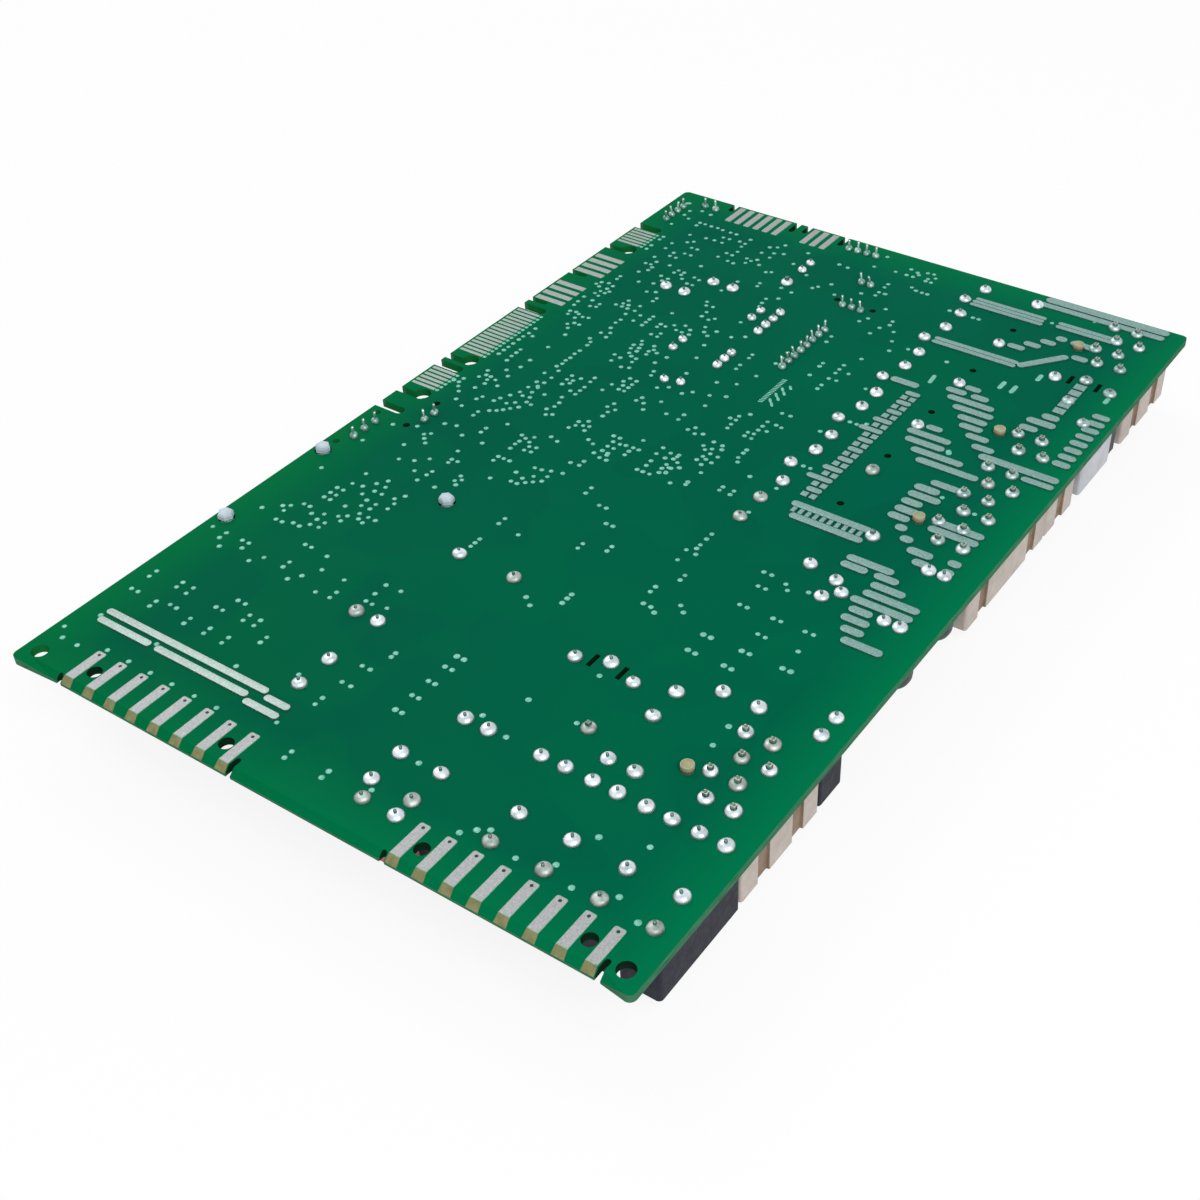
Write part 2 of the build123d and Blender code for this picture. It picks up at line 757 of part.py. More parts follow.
with BuildPart() as connector_tabs:
    with BuildSketch(Plane.XY.offset(component_face)):
        with Locations(*all_tabs):
            Rectangle(tab_width, tab_thickness)
    extrude(amount=-header_floor - tab_height)
    with BuildSketch(Plane.XY.offset(component_face)):
        with Locations(*tab_legs(all_tabs)):
            Rectangle(power_lead_width, tab_thickness)
    extrude(amount=board_thickness + lead_rise)
save(connector_tabs, "connector_tabs")

# ---- spacer frame, held by three heads melted over on the solder side ----
frame_size = (frame_x[1] - frame_x[0] + frame_wall, frame_y[1] - frame_y[0] + frame_wall)
frame_centre = rear_left(sum(frame_x) / 2, sum(frame_y) / 2)
with BuildPart() as spacer_frame:
    with BuildSketch(Plane.XY):
        with Locations(frame_centre):
            RectangleRounded(*frame_size, frame_wall)
            Rectangle(frame_size[0] - 2 * frame_wall, frame_size[1] - 2 * frame_wall, mode=Mode.SUBTRACT)
    extrude(amount=component_face)
    with BuildSketch(Plane.XY.offset(component_face)):
        with Locations(*stakes):
            Circle(stake_radius)
    extrude(amount=board_thickness)
    with BuildSketch(Plane.XY.offset(solder_face)):
        with Locations(*stakes):
            Circle(stake_head_radius)
    extrude(amount=stake_rise)
    chamfer(spacer_frame.faces().group_by(Axis.Z)[-1].edges(), stake_rise / 2)
save(spacer_frame, "spacer_frame")


# ---- round parts ----
def can(name, places, radius, height):
    """Aluminium cans with a rolled groove near the board."""
    with BuildPart() as cans:
        with BuildSketch(Plane.XZ):
            Rectangle(radius, height, align=(Align.MIN, Align.MAX))
            with Locations((radius, -can_groove_share * height)):
                Circle(can_groove_depth, mode=Mode.SUBTRACT)
        revolve(axis=Axis.Z)
    single = cans.part
    with BuildPart() as group:
        with Locations(*[(x, y, component_face) for x, y in places]):
            add(single)
    save(group, name)


can("large_electrolytics", big_can_places, big_can_radius, big_can_height)
can("small_electrolytics", small_can_places, small_can_radius, small_can_height)

with BuildPart() as disc_varistors:
    for x, y in disc_places:
        with BuildSketch(Plane.YZ.offset(x - disc_thickness / 2)):
            with Locations((y, component_face - disc_radius)):
                Circle(disc_radius)
        extrude(amount=disc_thickness)
save(disc_varistors, "disc_varistors")

with BuildPart() as drum_chokes:
    with BuildSketch(Plane.XY.offset(component_face)):
        with Locations(*choke_body_centres):
            Circle(choke_radius)
    extrude(amount=-choke_flange)
    with BuildSketch(Plane.XY.offset(component_face - choke_flange)):
        with Locations(*choke_body_centres):
            Circle(choke_radius - choke_waist)
    extrude(amount=-choke_height + 2 * choke_flange)
    with BuildSketch(Plane.XY.offset(component_face - choke_height + choke_flange)):
        with Locations(*choke_body_centres):
            Circle(choke_radius)
    extrude(amount=-choke_flange)
save(drum_chokes, "drum_chokes")

with BuildPart() as line_choke:
    with BuildSketch(Plane.XY.offset(component_face)):
        with Locations(line_choke_centre):
            Circle(line_choke_radius)
    extrude(amount=-line_choke_height)
    with BuildSketch(Plane.XY.offset(component_face - line_choke_height)):
        with Locations(line_choke_centre):
            Circle(line_choke_bore)
    extrude(amount=line_choke_height / 2, mode=Mode.SUBTRACT)
    chamfer(line_choke.faces().sort_by(Axis.Z)[0].outer_wire().edges(), line_choke_chamfer)
save(line_choke, "line_choke")

with BuildPart() as small_film_capacitors:
    with BuildSketch(Plane.XY.offset(component_face)):
        for place, angle, pitch in film_places:
            with Locations(place):
                Rectangle(pitch + 2 * small_film_end, small_film_width, rotation=angle)
    extrude(amount=-small_film_height)
save(small_film_capacitors, "small_film_capacitors")


# ---- signal headers ----
def pin_strip(name, centre, angle, count, pitch):
    """The moulded strip that a row of header pins passes through."""
    length = pitch * (count - 1) + 2 * signal_header_end
    with BuildPart() as strip:
        with BuildSketch(Plane.XY.offset(component_face)):
            with Locations(centre):
                Rectangle(length, signal_header_width, rotation=angle)
            with Locations(*line_points(centre, angle, count, pitch)):
                Rectangle(signal_lead_width, signal_lead_width, mode=Mode.SUBTRACT)
        extrude(amount=-signal_strip_height)
    save(strip, name)


for name, spec in signal_headers.items():
    pin_strip(name, *spec)


# ---- surface-mounted chips ----
# Name: place, size along X and Y, height, feet along each X side and each Y side, foot pitch.
chips = {
    "microcontroller": (rear_left(31.0, 34.0), (12.0, 12.0), 1.6, 16, 16, 0.7),
    "memory_chip": (rear_left(15.0, 62.0), (4.0, 5.0), 1.5, 0, 4, 1.27),
    "driver_chip_1": (rear_left(58.0, 47.0), (4.0, 10.0), 1.6, 0, 8, 1.2),
    "driver_chip_2": (rear_left(58.0, 30.0), (4.0, 10.0), 1.6, 0, 8, 1.2),
    "isolator_chip": (front_middle(-4.5, 30.9), (4.4, 17.0), 3.4, 0, 6, 2.8),
}


def chip_feet(centre, size, x_count, y_count, pitch):
    """Feet on the board round a chip: (place, turned) for each."""
    out_x = size[0] / 2 + chip_foot / 2
    out_y = size[1] / 2 + chip_foot / 2
    feet = []
    for side in (-1, 1):
        start = shifted(centre, side * out_x, -pitch * (y_count - 1) / 2)
        feet += [(p, 0) for p in row(start, 0, pitch, y_count)]
        start = shifted(centre, -pitch * (x_count - 1) / 2, side * out_y)
        feet += [(p, 90) for p in row(start, pitch, 0, x_count)]
    return feet


all_feet = []
for name, (centre, size, height, x_count, y_count, pitch) in chips.items():
    case(name, centre, *size, height, chip_corner)
    all_feet += chip_feet(centre, size, x_count, y_count, pitch)

with BuildPart() as chip_feet_group:
    with BuildSketch(Plane.XY.offset(component_face)):
        for turn in (0, 90):
            with Locations(*[place for place, angle in all_feet if angle == turn]):
                Rectangle(chip_foot, chip_foot_width, rotation=turn)
    extrude(amount=-chip_foot_height)
save(chip_feet_group, "chip_feet")
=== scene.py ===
"""Oven control board, solder side up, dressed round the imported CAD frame. Metres."""
import json
import math
import random

import bmesh
import bpy
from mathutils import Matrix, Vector


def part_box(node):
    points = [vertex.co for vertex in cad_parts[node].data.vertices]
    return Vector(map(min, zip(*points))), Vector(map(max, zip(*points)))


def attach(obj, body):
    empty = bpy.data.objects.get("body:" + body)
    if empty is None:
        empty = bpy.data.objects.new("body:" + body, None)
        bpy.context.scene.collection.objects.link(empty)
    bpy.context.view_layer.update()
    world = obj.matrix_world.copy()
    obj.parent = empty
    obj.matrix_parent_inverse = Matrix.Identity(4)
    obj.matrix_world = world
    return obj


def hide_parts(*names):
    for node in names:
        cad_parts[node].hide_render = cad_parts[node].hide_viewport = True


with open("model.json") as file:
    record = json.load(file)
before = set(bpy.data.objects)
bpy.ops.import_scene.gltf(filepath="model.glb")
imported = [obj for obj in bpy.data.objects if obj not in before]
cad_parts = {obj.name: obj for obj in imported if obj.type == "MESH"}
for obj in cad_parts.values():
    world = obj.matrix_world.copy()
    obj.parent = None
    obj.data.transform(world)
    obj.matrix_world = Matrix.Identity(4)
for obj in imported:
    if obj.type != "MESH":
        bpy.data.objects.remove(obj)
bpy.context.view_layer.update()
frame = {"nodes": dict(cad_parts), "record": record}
nodes = frame["nodes"]
MM = 0.001
random.seed(7)

BOARD_LOW, BOARD_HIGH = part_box("circuit_board")
SOLDER_Z = BOARD_HIGH[2]
COMPONENT_Z = BOARD_LOW[2]
CLEAR = 0.01 * MM              # added pieces stand this far off the solder face
WELD = 0.002 * MM              # CAD vertices closer than this are one
CUT_TOLERANCE = 0.001 * MM     # for a cut through the board's mesh
TAB_HEADERS = [f"tab_header_{i}" for i in range(1, 5)]


def on_board(x, y, lift=0.0):
    """A point of the solder face, from millimetres off its front left corner."""
    return Vector((BOARD_LOW[0] + x * MM, BOARD_LOW[1] + y * MM, SOLDER_Z + lift))


# ---------------------------------------------------------------- materials
def display(r, g, b):
    """Linear colour of display values from 0 to 255."""
    def one(v):
        v /= 255
        return v / 12.92 if v <= 0.04045 else ((v + 0.055) / 1.055) ** 2.4
    return (one(r), one(g), one(b), 1.0)


FINISH = {}                    # each finish by its name


class Graph:
    """One finish, with short names for building its nodes."""

    def __init__(self, name):
        material = bpy.data.materials.new(name)
        material.use_nodes = True
        FINISH[name] = material
        self.tree = material.node_tree
        self.shader = self.tree.nodes["Principled BSDF"]
        self.coordinates = self.add("ShaderNodeTexCoord").outputs["Object"]

    def add(self, kind, **settings):
        node = self.tree.nodes.new(kind)
        for key, value in settings.items():
            setattr(node, key, value)
        return node

    def link(self, source, target):
        self.tree.links.new(source, target)

    def feed(self, socket, value):
        """Sets a socket to a value, or links another node's output to it."""
        if isinstance(value, (tuple, float, int)):
            socket.default_value = value
        else:
            self.link(value, socket)

    def parts(self, vector):
        """The x, y and z outputs of a vector."""
        node = self.add("ShaderNodeSeparateXYZ")
        self.link(vector, node.inputs[0])
        return node.outputs

    def noise(self, scale, detail=3.0, roughness=0.55, stretch=None):
        node = self.add("ShaderNodeTexNoise")
        node.inputs["Scale"].default_value = scale
        node.inputs["Detail"].default_value = detail
        node.inputs["Roughness"].default_value = roughness
        source = self.coordinates
        if stretch:
            mapping = self.add("ShaderNodeMapping")
            mapping.inputs["Scale"].default_value = stretch
            self.link(source, mapping.inputs["Vector"])
            source = mapping.outputs["Vector"]
        self.link(source, node.inputs["Vector"])
        return node.outputs["Fac"]

    def ramp(self, factor, stops):
        node = self.add("ShaderNodeValToRGB")
        elements = node.color_ramp.elements
        while len(elements) < len(stops):
            elements.new(0.5)
        for element, (place, value) in zip(elements, stops):
            element.position = place
            element.color = value
        self.link(factor, node.inputs["Fac"])
        return node.outputs["Color"]

    def spread(self, factor, low, high, start=0.3, end=0.7):
        """factor from start..end brought to low..high."""
        node = self.add("ShaderNodeMapRange")
        for key, value in (("From Min", start), ("From Max", end), ("To Min", low), ("To Max", high)):
            node.inputs[key].default_value = value
        self.link(factor, node.inputs["Value"])
        return node.outputs["Result"]

    def mix(self, factor, first, second):
        node = self.add("ShaderNodeMix", data_type="RGBA")
        for key, value in ((0, factor), (6, first), (7, second)):
            self.feed(node.inputs[key], value)
        return node.outputs[2]

    def maths(self, operation, first, second=0.0):
        node = self.add("ShaderNodeMath", operation=operation)
        self.feed(node.inputs[0], first)
        self.feed(node.inputs[1], second)
        return node.outputs[0]

    def bump(self, height, strength, distance):
        node = self.add("ShaderNodeBump")
        node.inputs["Strength"].default_value = strength
        node.inputs["Distance"].default_value = distance
        self.link(height, node.inputs["Height"])
        self.link(node.outputs["Normal"], self.shader.inputs["Normal"])

    def put(self, key, value):
        self.feed(self.shader.inputs[key], value)


def plain(name, dark, light, roughness=(0.4, 0.6), scale=400, metallic=0.0, specular=0.5,
          bump=(0.15, 0.04 * MM, 3000), stretch=None):
    """A finish that varies a little between two display colours; bump is strength, distance and scale."""
    graph = Graph(name)
    broad = graph.noise(scale, 4.0, 0.6, stretch)
    graph.put("Base Color", graph.ramp(broad, [(0.3, display(*dark)), (0.7, display(*light))]))
    fine = graph.noise(scale * 3.1, 3.0, 0.6, stretch)
    graph.put("Roughness", graph.spread(fine, *roughness))
    graph.put("Metallic", metallic)
    graph.put("Specular IOR Level", specular)
    strength, distance, bump_scale = bump
    graph.bump(graph.noise(bump_scale, 3.0, 0.6), strength, distance)


PAINTED_RIM_REACH = 12 * MM                    # the painted light of the paler rim fades out this far in from the board's edge
OUTLINE_SKIN = (0.6 * MM, 0.9 * MM)    # cut walls nearer the outline than this are outer edges
LIT_LEFT_SLOTS = (4 * MM, 9 * MM)          # walls nearer the left edge than this get painted light, a brighter green


def solder_mask():
    """Green mask over copper and glass laminate; the outer cut edges show the bare laminate, slot and hole
    walls carry painted shade and painted light.
    """
    graph = Graph("solder_mask")
    x, y, _ = graph.parts(graph.coordinates)
    across = graph.spread(x, 0.0, 1.0, BOARD_LOW[0], BOARD_HIGH[0])
    depth = graph.spread(y, 0.0, 1.0, BOARD_LOW[1], BOARD_HIGH[1])
    front = graph.mix(across, display(0, 88, 54), display(0, 88, 63))
    rear = graph.mix(across, display(0, 84, 67), display(0, 86, 67))
    ground = graph.mix(depth, front, rear)
    # Copper areas under the mask are a little darker and bluer than bare laminate.
    copper = graph.spread(graph.noise(46.0, 1.5, 0.4), 0.0, 1.0, 0.485, 0.515)
    base = graph.mix(graph.maths("MULTIPLY", copper, 0.5), ground, display(0, 80, 60))
    cloud = graph.spread(graph.noise(17.0, 2.0, 0.5), 0.0, 0.6, 0.35, 0.72)
    toned = graph.mix(cloud, base, display(0, 93, 62))
    # Painted light: the rim is painted paler, standing in for light that comes through the laminate at the
    # edge. The board is centred on x and y.
    from_x = graph.maths("SUBTRACT", BOARD_HIGH[0], graph.maths("ABSOLUTE", x))
    from_y = graph.maths("SUBTRACT", BOARD_HIGH[1], graph.maths("ABSOLUTE", y))
    from_edge = graph.maths("MINIMUM", from_x, from_y)
    rim_light = graph.spread(from_edge, 0.85, 0.0, 0.0, PAINTED_RIM_REACH)
    # The rim's paler greens are painted light.
    mask = graph.mix(rim_light, toned, graph.mix(across, display(0, 104, 56), display(0, 108, 67)))
    # Upright faces: layered laminate on the outline; slot and hole walls in painted shade, dark green, and
    # near the left edge in painted light, bright green.
    normal = graph.add("ShaderNodeNewGeometry").outputs["True Normal"]
    side = graph.spread(graph.maths("ABSOLUTE", graph.parts(normal)[2]), 1.0, 0.0, 0.4, 0.6)
    layers = graph.noise(300.0, 3.0, 0.6, (1.0, 1.0, 18.0))
    cut = graph.ramp(layers, [(0.3, display(34, 92, 64)), (0.7, display(78, 126, 98))])
    from_left = graph.spread(graph.maths("SUBTRACT", x, BOARD_LOW[0]), 0.8, 0.0, *LIT_LEFT_SLOTS)
    # Painted shade in the slot and hole walls, painted light in those near the left edge.
    slot_shade_and_light = graph.mix(from_left, display(14, 42, 28), display(20, 118, 58))
    laminate = graph.mix(graph.spread(from_edge, 1.0, 0.0, *OUTLINE_SKIN), slot_shade_and_light, cut)
    graph.put("Base Color", graph.mix(side, mask, laminate))
    gloss = graph.spread(graph.noise(90.0, 4.0, 0.6), 0.32, 0.46)
    graph.put("Roughness", graph.maths("MAXIMUM", gloss, graph.maths("MULTIPLY", side, 0.7)))
    graph.put("IOR", 1.04)
    grain = graph.maths("MULTIPLY", graph.noise(2600.0, 2.0, 0.5), 0.25)
    graph.bump(graph.maths("ADD", graph.maths("MULTIPLY", copper, 0.6), grain), 0.35, 0.03 * MM)


def track_finish():
    """Tinned tracks with painted light and shade: painted paler at the front left, painted darker and greener
    over the rest of the board.
    """
    graph = Graph("track_solder")
    x, y, _ = graph.parts(graph.coordinates)
    broad = graph.noise(2600, 4.0, 0.6)
    lit_track = graph.ramp(broad, [(0.3, display(134, 152, 147)), (0.7, display(168, 182, 177))])
    shaded_track = graph.ramp(broad, [(0.3, display(96, 134, 128)), (0.7, display(134, 168, 162))])
    # Painted light and shade: the lit copy at the front left gives way to the shaded copy, whose green tint
    # is a painted reflection of the mask.
    away = graph.spread(graph.maths("ADD", x, y), 0.0, 1.0, -100 * MM, -30 * MM)
    graph.put("Base Color", graph.mix(away, lit_track, shaded_track))
    graph.put("Roughness", graph.spread(graph.noise(8000, 3.0, 0.6), 0.35, 0.55))
    graph.put("Metallic", 0.45)
    graph.bump(graph.noise(1400, 3.0, 0.6), 0.25, 0.05 * MM)


def solder(name, dark, light, roughness, lumps=900.0, crust=0.2):
    """Frozen solder: metal with a fine crust and slow changes of brightness."""
    graph = Graph(name)
    broad = graph.noise(lumps, 3.0, 0.6)
    graph.put("Base Color", graph.ramp(broad, [(0.32, display(*dark)), (0.68, display(*light))]))
    graph.put("Metallic", 0.85)
    graph.put("Roughness", graph.spread(graph.noise(lumps * 2.7, 3.0, 0.6), *roughness))
    graph.bump(graph.noise(lumps * 0.9, 2.0, 0.5), crust, 0.06 * MM)


solder_mask()
# The greenish tint in these solder colours is a painted reflection of the green mask.
solder("joint_solder", (166, 180, 182), (226, 232, 240), (0.24, 0.38), 500.0, 0.08)
# Painted shade: a darker copy of the joint solder for the joints among the rear tab headers.
solder("shaded_rear_solder", (112, 140, 136), (184, 200, 200), (0.3, 0.45), 500.0)
solder("pin_solder", (76, 118, 108), (150, 180, 172), (0.35, 0.5), 500.0)
solder("dull_solder", (124, 134, 130), (182, 190, 186), (0.4, 0.6), 600.0)
track_finish()
plain("via_solder", (78, 154, 136), (120, 190, 172), (0.3, 0.5), 1500, metallic=0.2)
plain("contact_tin", (134, 135, 137), (165, 166, 168), (0.4, 0.6), 3600, metallic=0.5)
plain("contact_rim", (96, 146, 124), (130, 170, 150), (0.4, 0.6), 900, metallic=0.3)
plain("tip_laminate", (100, 102, 60), (126, 126, 84), (0.5, 0.7), 900)
# The greenish tint of the lead and pin tin is a painted reflection of the green mask.
solder("tinned_lead", (60, 92, 84), (122, 150, 142), (0.3, 0.5))
solder("pin_tin", (126, 162, 152), (186, 212, 204), (0.25, 0.4))
plain("cut_end", (62, 92, 84), (112, 140, 132), (0.35, 0.6), 1800, metallic=0.6)
# Painted shade: the dark colour of the contact pits.
plain("pit_painted_shade", (14, 26, 20), (34, 46, 38), (0.6, 0.8), 900)
plain("relay_case", (34, 35, 45), (44, 44, 55), (0.5, 0.65), 300, specular=0.12, bump=(0.25, 0.05 * MM, 2600))
plain("header_plastic", (168, 156, 147), (188, 178, 170), (0.42, 0.6), 260, bump=(0.2, 0.05 * MM, 2200))
plain("peg_olive", (126, 126, 90), (160, 158, 120), (0.45, 0.65), 900)
# Painted shade: the tan lining inside the key grooves of the tab headers.
plain("groove_painted_shade", (112, 92, 74), (142, 120, 98), (0.5, 0.7), 260)
plain("strip_plastic", (196, 192, 182), (218, 214, 206), (0.4, 0.6), 300)
plain("frame_plastic", (158, 174, 186), (186, 200, 210), (0.34, 0.55), 300)
plain("capacitor_case", (170, 172, 180), (190, 192, 198), (0.35, 0.5), 300)
plain("small_capacitor_case", (146, 44, 30), (170, 60, 40), (0.25, 0.4), 300)
plain("can_sleeve", (22, 26, 40), (36, 42, 60), (0.22, 0.4), 300)
plain("varistor_lacquer", (34, 82, 146), (48, 100, 166), (0.2, 0.4), 400, bump=(0.3, 0.1 * MM, 900))
plain("choke_ferrite", (30, 30, 34), (50, 50, 54), (0.4, 0.6), 400)
plain("chip_epoxy", (26, 26, 28), (42, 42, 44), (0.5, 0.7), 700)
plain("ceramic_body", (206, 202, 190), (228, 224, 214), (0.6, 0.8), 500, bump=(0.4, 0.08 * MM, 1800))
plain("crystal_can", (166, 166, 172), (196, 196, 200), (0.25, 0.4), 500, metallic=0.9,
      stretch=(1.0, 12.0, 1.0))
plain("tab_metal", (186, 180, 160), (214, 208, 190), (0.25, 0.4), 500, metallic=0.9, stretch=(1.0, 1.0, 10.0))

for part in frame["record"]["subparts"]:
    shown = nodes[part["node"]]
    shown.data.materials.clear()
    shown.data.materials.append(FINISH[part["material_slot"]])


# ---------------------------------------------------------------- mesh helpers
def islands(node):
    """(low, high) corners of each separate solid of a CAD node, in its mesh's order."""
    mesh = nodes[node].data
    parent = list(range(len(mesh.vertices)))

    def root(i):
        while parent[i] != i:
            parent[i] = parent[parent[i]]
            i = parent[i]
        return i

    keys = {}
    for v in mesh.vertices:
        key = tuple(round(c, 7) for c in v.co)
        if key in keys:
            parent[root(v.index)] = root(keys[key])
        else:
            keys[key] = v.index
    for edge in mesh.edges:
        a, b = (root(i) for i in edge.vertices)
        parent[a] = b
    groups = {}
    for v in mesh.vertices:
        groups.setdefault(root(v.index), []).append(v.co)
    return [corners(points) for points in groups.values()]


def corners(points):
    """The low and high corner of the box round some points."""
    return tuple(Vector([end(p[i] for p in points) for i in range(3)]) for end in (min, max))


def centre(box):
    """The middle of a (low, high) box."""
    return (box[0] + box[1]) / 2


def finish_piece(bm, name, materials, replaced=(), smooth=True):
    """Makes the object, rides it on the root body and hides the CAD parts it replaces."""
    bmesh.ops.recalc_face_normals(bm, faces=bm.faces)
    mesh = bpy.data.meshes.new(name)
    bm.to_mesh(mesh)
    bm.free()
    if "custom_normal" in mesh.attributes:
        mesh.attributes.remove(mesh.attributes["custom_normal"])
    for key in materials:
        mesh.materials.append(FINISH[key])
    for polygon in mesh.polygons:
        polygon.use_smooth = smooth
    piece = bpy.data.objects.new(name, mesh)
    bpy.context.collection.objects.link(piece)
    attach(piece, "root")
    if replaced:
        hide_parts(*replaced)


def from_cad(node, angle):
    """The CAD node's mesh, welded, with its flat faces whole again."""
    bm = bmesh.new()
    bm.from_mesh(nodes[node].data)
    bmesh.ops.remove_doubles(bm, verts=bm.verts, dist=WELD)
    bmesh.ops.dissolve_limit(bm, angle_limit=math.radians(angle), verts=bm.verts, edges=bm.edges)
    return bm


def skin(bm, rings, material=0):
    """Joins each closed ring of vertices to the next by a band of quads."""
    for lower, upper in zip(rings, rings[1:]):
        for i in range(len(lower)):
            j = (i + 1) % len(lower)
            bm.faces.new((lower[i], lower[j], upper[j], upper[i])).material_index = material


def scaled(shape, radius, height):
    """A profile of shares brought to size."""
    return [(radius * r, height * h) for r, h in shape]


def lathe(bm, base, profile, sides=16, lean=Vector((0, 0)), material=0, squash=1.0, turn=0.0):
    """A turned form standing at base. profile is (radius, height) pairs; lean moves its top."""
    rings = []
    top = profile[-1][1]
    for radius, height in profile:
        share = height / top
        off = lean * share * share
        ring = []
        for i in range(sides):
            angle = turn + 2 * math.pi * i / sides
            ring.append(bm.verts.new(base + Vector((
                radius * math.cos(angle) + off.x,
                radius * squash * math.sin(angle) + off.y,
                height,
            ))))
        rings.append(ring)
    skin(bm, rings, material)
    for ring in (rings[0], rings[-1]):
        bm.faces.new(ring).material_index = material


def tab_rows(header):
    """The y of each row of tabs in a tab header, front to rear."""
    low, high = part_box(header)
    rows = [(a.y + b.y) / 2 for a, b in islands("connector_tabs")]
    return sorted(y for y in rows if low[1] < y < high[1])


# ---------------------------------------------------------------- solder joints
BRIGHT, DULL, ROUND_PIN, REAR = range(4)    # a joint's kind, also its place in JOINT_FINISHES
JOINT_FINISHES = ["joint_solder", "dull_solder", "pin_solder", "shaded_rear_solder"]
JOINT_SHAPE = [(1.0, 0.0), (1.0, 0.1), (0.98, 0.28), (0.94, 0.46), (0.86, 0.63), (0.76, 0.76), (0.62, 0.87),
               (0.45, 0.95), (0.24, 0.99), (0.06, 1.0)]
DULL_PLACES = [(121.0, 11.0), (111.7, 11.2), (102.0, 11.2), (92.0, 11.2), (93.5, 122.6), (113.2, 130.2),
               (90.1, 38.2), (70.6, 7.4), (40.2, 39.4), (57.0, 60.9), (80.6, 104.2), (115.9, 40.5),
               (115.7, 50.3), (113.5, 45.5), (100.5, 97.2), (80.5, 96.8), (77.0, 11.0)]
DULL_REACH = 1.6 * MM
PIN_PLACES = [centre(box).xy for box in islands("header_pins")]
PIN_REACH = 0.5 * MM
PIN_JOINT_SHARE = 0.82                      # joints round header pins are slimmer
REAR_CORNER = on_board(110, 105)            # right of and behind it stand the rear tab headers; joints there get the painted shade copy of the solder


def joint_kind(place):
    """BRIGHT, DULL, ROUND_PIN or REAR, from where the joint stands."""
    if any((place.xy - on_board(x, y).xy).length < DULL_REACH for x, y in DULL_PLACES):
        return DULL
    if any((place.xy - pin_place).length < PIN_REACH for pin_place in PIN_PLACES):
        return ROUND_PIN
    return REAR if place.x > REAR_CORNER.x and place.y > REAR_CORNER.y else BRIGHT


def joints():
    """Each CAD cone as a rounded joint, a little different from the next."""
    bm = bmesh.new()
    for low, high in islands("solder_joints"):
        middle = centre((low, high))
        kind = joint_kind(middle)
        slim = PIN_JOINT_SHARE if kind == ROUND_PIN else 1.0
        radius = (high.x - low.x) / 2 * random.uniform(1.02, 1.1) * slim
        height = (high.z - low.z) * random.uniform(0.8, 0.95)
        lean = Vector((random.uniform(-0.25, 0.1), random.uniform(-0.1, 0.25))) * MM
        lathe(bm, Vector((middle.x, middle.y, SOLDER_Z + CLEAR)), scaled(JOINT_SHAPE, radius, height), 28,
              lean, kind, squash=random.uniform(0.94, 1.06), turn=random.uniform(0, 1))
    finish_piece(bm, "solder_joint_cones", JOINT_FINISHES, ["solder_joints"])


joints()


# ---------------------------------------------------------------- leads, pegs and staked heads
PIN_SIDES = 8
CORNER_SHARE = 1.08            # a ring's corners over the radius of its flats


def pin(bm, low, high, bend, slim, rise):
    """A wire pin with a cut end, from the component face up through its joint."""
    middle = centre((low, high))
    radius = (high.x - low.x) / 2 * slim * CORNER_SHARE
    foot = low.z
    reach = min(high.z, SOLDER_Z + rise) - foot
    start = (SOLDER_Z - foot) / reach
    shape = [(0.6, 0.0), (1.0, 0.02), (1.0, start), (1.0, 0.5 + start / 2), (0.98, 0.96), (0.8, 0.99)]
    base = Vector((middle.x, middle.y, foot))
    rings = []
    for r, h in shape:
        over = max(0.0, (h - start) / (1 - start))
        ring = []
        for i in range(PIN_SIDES):
            angle = (2 * i + 1) * math.pi / PIN_SIDES
            ring.append(bm.verts.new(base + Vector((
                radius * r * math.cos(angle) + bend.x * over,
                radius * r * math.sin(angle) + bend.y * over,
                reach * h,
            ))))
        rings.append(ring)
    skin(bm, rings)
    bm.faces.new(rings[0])
    bm.faces.new(rings[-1]).material_index = 1


for node, piece_name, bend_reach, finish, slim, rise in (
        ("component_leads", "lead_ends", 0.25 * MM, "tinned_lead", 0.7, 1.35 * MM),
        ("header_pins", "header_pin_rows", 0.7 * MM, "pin_tin", 0.85, 9 * MM)):
    pins = bmesh.new()
    for low, high in islands(node):
        bend = Vector((random.uniform(-1, 0.0), random.uniform(0.0, 1))) * bend_reach
        pin(pins, low, high, bend, slim, rise)
    finish_piece(pins, piece_name, [finish, "cut_end"], [node])


TAB_LEG_REACH = 2.45 * MM      # from a blade's middle to each of its legs
STUB_SHAPE = [(0.62, 0.0), (0.6, 0.6), (0.55, 0.9), (0.3, 1.0)]     # radius in mm, share of the height
STUB_SPARE = 0.04 * MM         # stubs reach this far over the CAD legs
THROUGH = 0.1 * MM             # tabs that rise further than this have legs through the board


def leg_ends():
    """The legs of the tab headers end as tinned stubs that cover the CAD legs."""
    bm = bmesh.new()
    for low, high in islands("connector_tabs"):
        if high.z <= SOLDER_Z + THROUGH:
            continue
        for side in (-1, 1):
            base = Vector(((low.x + high.x) / 2 + side * TAB_LEG_REACH, (low.y + high.y) / 2, SOLDER_Z))
            reach = high.z - SOLDER_Z + STUB_SPARE
            lean = Vector((random.uniform(-0.06, 0.0), random.uniform(0.0, 0.06))) * MM
            lathe(bm, base, scaled(STUB_SHAPE, MM, reach), 12, lean)
    finish_piece(bm, "tab_leg_ends", ["tinned_lead"])


PEG_SHAPE = [(1.14, 0.0), (1.14, 0.84), (0.99, 1.22), (0.55, 1.25)]     # in mm, just over the CAD pegs
PEG_IN = 1.3 * MM              # from a header's inner side
PEG_BEHIND = 3.6 * MM          # from the first row of tabs


